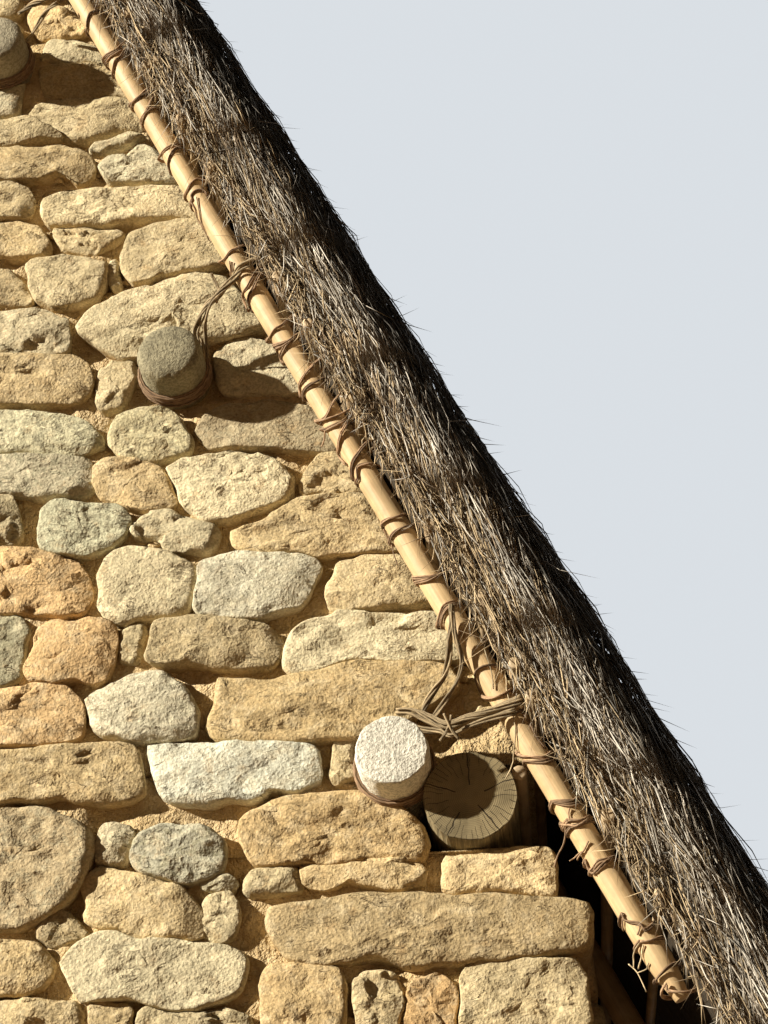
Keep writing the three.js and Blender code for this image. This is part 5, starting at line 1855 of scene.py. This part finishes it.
def verge_straws(surface, hand, end, number, width, seed):
    """The straws of one verge. They lie in clumps, each layer overlapping the next and cut level at its foot,
    where it stands out furthest. The deeper a clump lies, the steeper it hangs; many straws are bent and lie
    across the others. The clumps at the outer edge are painted dark as shade, most on the front right verge."""
    rng = default_rng(seed)
    clumps = number // 14
    layer = rng.choice(len(LAYER_ENDS), clumps, p=LAYER_LENGTHS / LAYER_LENGTHS.sum())
    out = 0.055 + 0.230 * rng.random(clumps) ** 0.9
    depth = np.clip((THATCH_OUTER - out) / 0.22, 0, 1)
    steep = np.radians(rng.normal(6, 8, clumps) + 17 * depth)
    sweep = np.radians(rng.normal(0, 8, clumps))
    length = rng.uniform(0.12, 0.34, clumps)
    tone_grey = straw_tints(clumps, rng, 0.14, silver=0.50, pale=0.20, grey=0.18, tan=0.12)
    tone_tan = straw_tints(clumps, rng, 0.14, silver=0.24, tan=0.42, brown=0.18, grey=0.16)
    inner = (rng.random(clumps) < np.clip((0.135 - out) / 0.07, 0, 1))[:, None]
    # Painted shade: the clumps at the outer edge are darkened, most on the front right verge.
    shade_strength = 0.90 if hand == 1 and end == -1 else 0.55
    painted_shade = 1 - shade_strength * np.clip((out + rng.normal(0, 0.010, clumps) - 0.158) / 0.035, 0, 1)[:, None]
    tone = np.where(inner, tone_tan, tone_grey) * painted_shade
    which = rng.integers(0, clumps, number)
    t = np.clip(out[which] + rng.normal(0, 0.010, number), 0.035, THATCH_OUTER + 0.004)
    ragged = rng.random(number) < 0.66
    foot = LAYER_ENDS[layer[which]] + LEVEL_CUT * (t - 0.1) + rng.normal(0, np.where(ragged, 0.020, 0.004))
    foot = foot - np.where(ragged, LAYER_LENGTHS[layer[which]] * rng.random(number), 0)
    foot = np.minimum(foot, THATCH_EAVE + 0.02 * rng.random(number))
    reach = length[which] * rng.uniform(0.6, 1.2, number)
    crossed = rng.random(number) < 0.34
    angle = steep[which] + rng.normal(0, np.where(crossed, 0.34, 0.08))
    lean = sweep[which] + rng.normal(0, 0.06, number)
    down, inward = np.cos(angle), -np.sin(angle)
    head_t = np.clip(t - reach * inward, 0.03, THATCH_OUTER + 0.004)
    sunk = rng.uniform(0.006, 0.030, number)
    head = stacked(foot - reach * down, end * (verge_y(head_t) - sunk), head_t)
    lift = np.where(ragged, rng.uniform(-0.012, 0.014, number), rng.uniform(0.0, 0.012, number))
    tip = stacked(foot, end * (verge_y(t) + lift + 0.2 * reach * np.sin(lean)), t)
    bow = reach * rng.normal(0, np.where(crossed, 0.15, 0.09))
    bend = stacked(0.4 * bow, end * rng.normal(0.003, 0.008, number), bow)
    keep = (head[:, 0] > thatch_top(head[:, 2]) - 0.02) & (foot < THATCH_EAVE + 0.03)
    tints = tone[which] * np.clip(rng.normal(1, 0.15, (number, 1)), 0.5, 1.6)
    widths = width * rng.uniform(0.6, 1.35, number)
    add_straws(surface, hand, rng, head, tip - head - bend, bend, widths, tints, keep)


def verge_tangle(surface, hand, end, number, width, seed):
    """Loose tan straw squeezed out between the pole, the battens and the thatch, lying every way but mostly
    along the verge."""
    rng = default_rng(seed)
    down = rng.uniform(0.3, THATCH_EAVE - 0.1, number)
    near = np.abs(rng.normal(0, 1, number))
    t = np.clip(0.062 + rng.normal(0, 0.020, number), 0.028, 0.13)
    y = end * (3.142 + 0.030 * rng.random(number) + 0.012 * near * (t > 0.05))
    turn = rng.normal(0.0, 0.8, number)
    length = rng.uniform(0.04, 0.19, number)
    reaches = stacked(length * np.cos(turn), end * length * rng.normal(0.03, 0.14, number),
                      -length * np.abs(np.sin(turn)) * 0.35)
    bends = rng.normal(0, 0.026, (number, 3)) * (1, 0.5, 1)
    tints = straw_tints(number, rng, 0.25, tan=0.58, silver=0.12, brown=0.2, pale=0.1)
    widths = width * rng.uniform(0.6, 1.4, number)
    add_straws(surface, hand, rng, stacked(down, y, t), reaches, bends, widths, tints)


def stray_straws(surface, hand, end, number, width, seed):
    """Single straws that stand off the verge's face, and a fringe of them along its outer edge, painted dark as
    shade.
    """
    rng = default_rng(seed)
    fringe = rng.random(number) < 0.72
    down = rng.uniform(-0.05, THATCH_EAVE - 0.12, number)
    t = np.where(fringe, rng.uniform(0.235, THATCH_OUTER, number), rng.uniform(0.08, 0.235, number))
    roots = stacked(down, end * (verge_y(t) - 0.025), t - 0.012)
    length = np.where(fringe, rng.uniform(0.03, 0.10, number), rng.uniform(0.06, 0.20, number))
    lift = np.radians(np.where(fringe, rng.uniform(4, 30, number), rng.uniform(-24, 24, number)))
    sweep = rng.normal(0.1, 0.25, number)
    reaches = stacked(length * np.cos(lift), end * length * sweep * np.where(fringe, 0.6, 0.5),
                      length * np.sin(lift))
    bends = length[:, None] * rng.normal(0, 0.24, (number, 3)) * (1, 0.4, 1)
    light = straw_tints(number, rng, 0.2, silver=0.5, tan=0.3, grey=0.2)
    # The fringe's straws are painted dark as shade.
    dark = straw_tints(number, rng, 0.2, dark=0.6, brown=0.25, grey=0.15) * 0.45
    widths = width * rng.uniform(0.7, 1.3, number)
    add_straws(surface, hand, rng, roots, reaches, bends, widths, np.where(fringe[:, None], dark, light),
               down > thatch_top(t))


def outer_fringe(surface, hand, number, seed):
    """Straws on the outer face: they lie down the slope and stand out a little at the foot of each layer. Near the
    verges they are painted darker, as shade.
    """
    rng = default_rng(seed)
    layer = rng.choice(len(LAYER_ENDS), number, p=LAYER_LENGTHS / LAYER_LENGTHS.sum())
    y = rng.uniform(-3.14, 3.14, number)
    at_foot = rng.random(number) < 0.75
    foot = LAYER_ENDS[layer] + rng.normal(0.012, 0.018, number)
    foot = foot - np.where(at_foot, 0, rng.uniform(0.05, 0.35, number))
    foot = np.minimum(foot, THATCH_EAVE + 0.02)
    length = np.where(at_foot, rng.uniform(0.05, 0.14, number), rng.uniform(0.15, 0.30, number))
    top = np.interp(np.abs(y), VERGE_OUTLINE_Y[:3:-1], VERGE_OUTLINE_T[:3:-1])
    root_t = top - np.where(at_foot, 0.020, 0.026)
    tip_t = top + np.where(at_foot, rng.uniform(-0.010, 0.014, number), rng.uniform(-0.022, 0.004, number))
    roots = stacked(foot - length, y, root_t)
    reaches = stacked(length, length * rng.normal(0, 0.12, number), tip_t - root_t)
    tints = straw_tints(number, rng, 0.16, silver=0.22, grey=0.30, tan=0.12, brown=0.16, dark=0.20)
    # Painted shade: the straws near the verges are darkened.
    tints *= 1 - 0.7 * np.clip((np.abs(y) - 3.02) / 0.10, 0, 1)[:, None]
    widths = 0.0042 * rng.uniform(0.6, 1.4, number)
    add_straws(surface, hand, rng, roots, reaches, 0 * roots, widths, tints, roots[:, 0] > thatch_top(0.25), True)


def eave_butts(surface, hand, number, seed):
    """Cut ends of the lowest layer, hanging past the eave."""
    rng = default_rng(seed)
    y = rng.uniform(-3.15, 3.15, number)
    t = rng.uniform(THATCH_INNER, THATCH_OUTER - 0.01, number)
    y = np.clip(y, -verge_y(t), verge_y(t))
    length = rng.uniform(0.05, 0.10, number)
    roots = stacked(THATCH_EAVE - 0.035, y, t)
    reaches = stacked(length, length * rng.normal(0, 0.15, number), -length * rng.normal(0.15, 0.15, number))
    tints = straw_tints(number, rng, 0.2, tan=0.34, grey=0.28, brown=0.2, silver=0.18)
    widths = 0.0042 * rng.uniform(0.6, 1.3, number)
    add_straws(surface, hand, rng, roots, reaches, 0 * roots, widths, tints, short=True)


def thatch(hand):
    surface = thatch_body(hand)
    outer_fringe(surface, hand, 5600, 111 + hand)
    eave_butts(surface, hand, 1900, 113 + hand)
    surface.build(f"{SIDES[hand]}_roof_thatch", THATCH, "thatch", [f"{SIDES[hand]}_thatch"])
    for end in (-1, 1):
        seed = hand + 2 * end
        straws, tangle, strays = SHOWN_VERGE if hand == 1 and end == -1 else OTHER_VERGE
        edge = Surface()
        verge_straws(edge, hand, end, *straws, 121 + seed)
        verge_tangle(edge, hand, end, *tangle, 131 + seed)
        stray_straws(edge, hand, end, *strays, 141 + seed)
        edge.build(f"{GABLES[end * hand == -1]}_{SIDES[hand]}_verge_straw", STRAW, "thatch")


def ridge_cap():
    """The saddle of straw over the ridge: its section, a thick bent strip over the thatch with a rounded top,
    carried along the ridge and roughened, with straws that hang from it down both slopes."""
    levels = np.array((CAP_LEG, 7.05, 7.15, 7.25, 7.35, 7.43))
    outer_x = slope_x(levels, THATCH_OUTER + CAP_THICKNESS) - 0.006
    crown = np.linspace(0, math.pi / 2, 7)[1:]
    crown_x = outer_x[-1] * np.cos(crown)
    crown_z = levels[-1] + (CAP_TOP - 0.012 - levels[-1]) * np.sin(crown)
    right_x, right_z = np.concatenate([outer_x, crown_x]), np.concatenate([levels, crown_z])
    inner_z = np.array((THATCH_TRIM - 0.03, 7.35, 7.2, 7.05, CAP_LEG))
    inner_x = slope_x(inner_z, THATCH_OUTER - 0.02)
    x = np.concatenate([right_x, -right_x[-2::-1], -inner_x[::-1], inner_x])
    z = np.concatenate([right_z, right_z[-2::-1], inner_z[::-1], inner_z])
    y = np.linspace(-CAP_END + 0.012, CAP_END - 0.012, 130)[:, None]
    rough = 0.010 * rough_noise(stacked(x * 9, y * 5, z * 9), 151, 3)
    legs = (z < CAP_LEG + 0.01) * (0.012 + 0.012 * wander(y * 14, 152))
    closed = capped(stacked(0.98 * x + (rough - 0.004) * np.sign(x), y, z - np.abs(rough) * (z > 7.5) + legs))
    surface = Surface()
    surface.add(closed, [array[:, ::-1] for array in tube_faces(len(y), len(x))], BODY_TINT, 0.1,
                closed[:, ::-1] * (1, 1, 0.3))
    rng = default_rng(153)
    low = (RAFTER_APEX - CAP_LEG + (THATCH_OUTER + CAP_THICKNESS) * COS) / SIN
    number = 2000
    for hand in (1, -1):
        share = rng.random(number)
        length = rng.uniform(0.08, 0.22, number)
        down = -0.28 + share * (low + 0.28)
        down = np.where(rng.random(number) < 0.45, low - length * 0.8, down - length)
        roots = stacked(down, rng.uniform(-CAP_END + 0.02, CAP_END - 0.02, number),
                        THATCH_OUTER + CAP_THICKNESS - 0.022)
        reaches = stacked(length, length * rng.normal(0, 0.12, number), rng.uniform(0.006, 0.024, number))
        tints = straw_tints(number, rng, 0.16, silver=0.4, grey=0.3, tan=0.2, brown=0.1)
        widths = 0.0045 * rng.uniform(0.6, 1.4, number)
        add_straws(surface, hand, rng, roots, reaches, 0 * roots, widths, tints, down > -0.30, True)
    surface.build("ridge_straw", THATCH, "thatch", ["ridge_cap"])


thatch(1)
thatch(-1)
ridge_cap()


# The stage: a plain pale floor, the warm low sun of the photograph from the left, and a soft room

TOWARDS_SUN = (-0.84, -0.42, 0.34)
TOWARDS_FILL = (0.55, 0.80, 0.45)


def make_floor():
    """A plain pale floor, much larger than the house. It throws back only a little warm light."""
    finish = Finish("pale_floor", 0.9, 0.1)
    thrown = finish.node("LightPath", ())["Is Diffuse Ray"]
    finish.finish(finish.mix(thrown, (0.62, 0.60, 0.57), (0.17, 0.097, 0.043)))
    reach = 60.0
    mesh = bpy.data.meshes.new("floor")
    mesh.from_pydata([(-reach, -reach, 0), (reach, -reach, 0), (reach, reach, 0), (-reach, reach, 0)], [],
                     [(0, 1, 2, 3)])
    mesh.materials.append(finish.material)
    floor = bpy.data.objects.new("floor", mesh)
    bpy.context.scene.collection.objects.link(floor)


def make_sun(name, towards, strength, colour, spread):
    data = bpy.data.lights.new(name, "SUN")
    data.energy = strength
    data.color = colour
    data.angle = math.radians(spread)
    lamp = bpy.data.objects.new(name, data)
    lamp.rotation_euler = Vector(towards).to_track_quat("Z", "Y").to_euler()
    bpy.context.scene.collection.objects.link(lamp)


def make_world():
    """A weak warm light from all round, behind a plain pale backdrop."""
    world = bpy.data.worlds.new("pale_room")
    world.use_nodes = True
    tree = world.node_tree
    shade = tree.nodes["Background"]
    shade.inputs["Color"].default_value = (1.0, 0.86, 0.70, 1.0)
    shade.inputs["Strength"].default_value = 0.030
    backdrop = tree.nodes.new("ShaderNodeBackground")
    backdrop.inputs["Color"].default_value = (0.70, 0.74, 0.78, 1.0)
    path = tree.nodes.new("ShaderNodeLightPath")
    blend = tree.nodes.new("ShaderNodeMixShader")
    tree.links.new(path.outputs["Is Camera Ray"], blend.inputs[0])
    tree.links.new(shade.outputs[0], blend.inputs[1])
    tree.links.new(backdrop.outputs[0], blend.inputs[2])
    tree.links.new(blend.outputs[0], tree.nodes["World Output"].inputs[0])
    bpy.context.scene.world = world


make_floor()
make_sun("sun", TOWARDS_SUN, 9.1, (1.0, 0.93, 0.78), 1.2)
make_sun("fill", TOWARDS_FILL, 1.12, (1.0, 0.97, 0.93), 50.0)
make_world()
scene = bpy.context.scene
scene.view_settings.view_transform = "Standard"
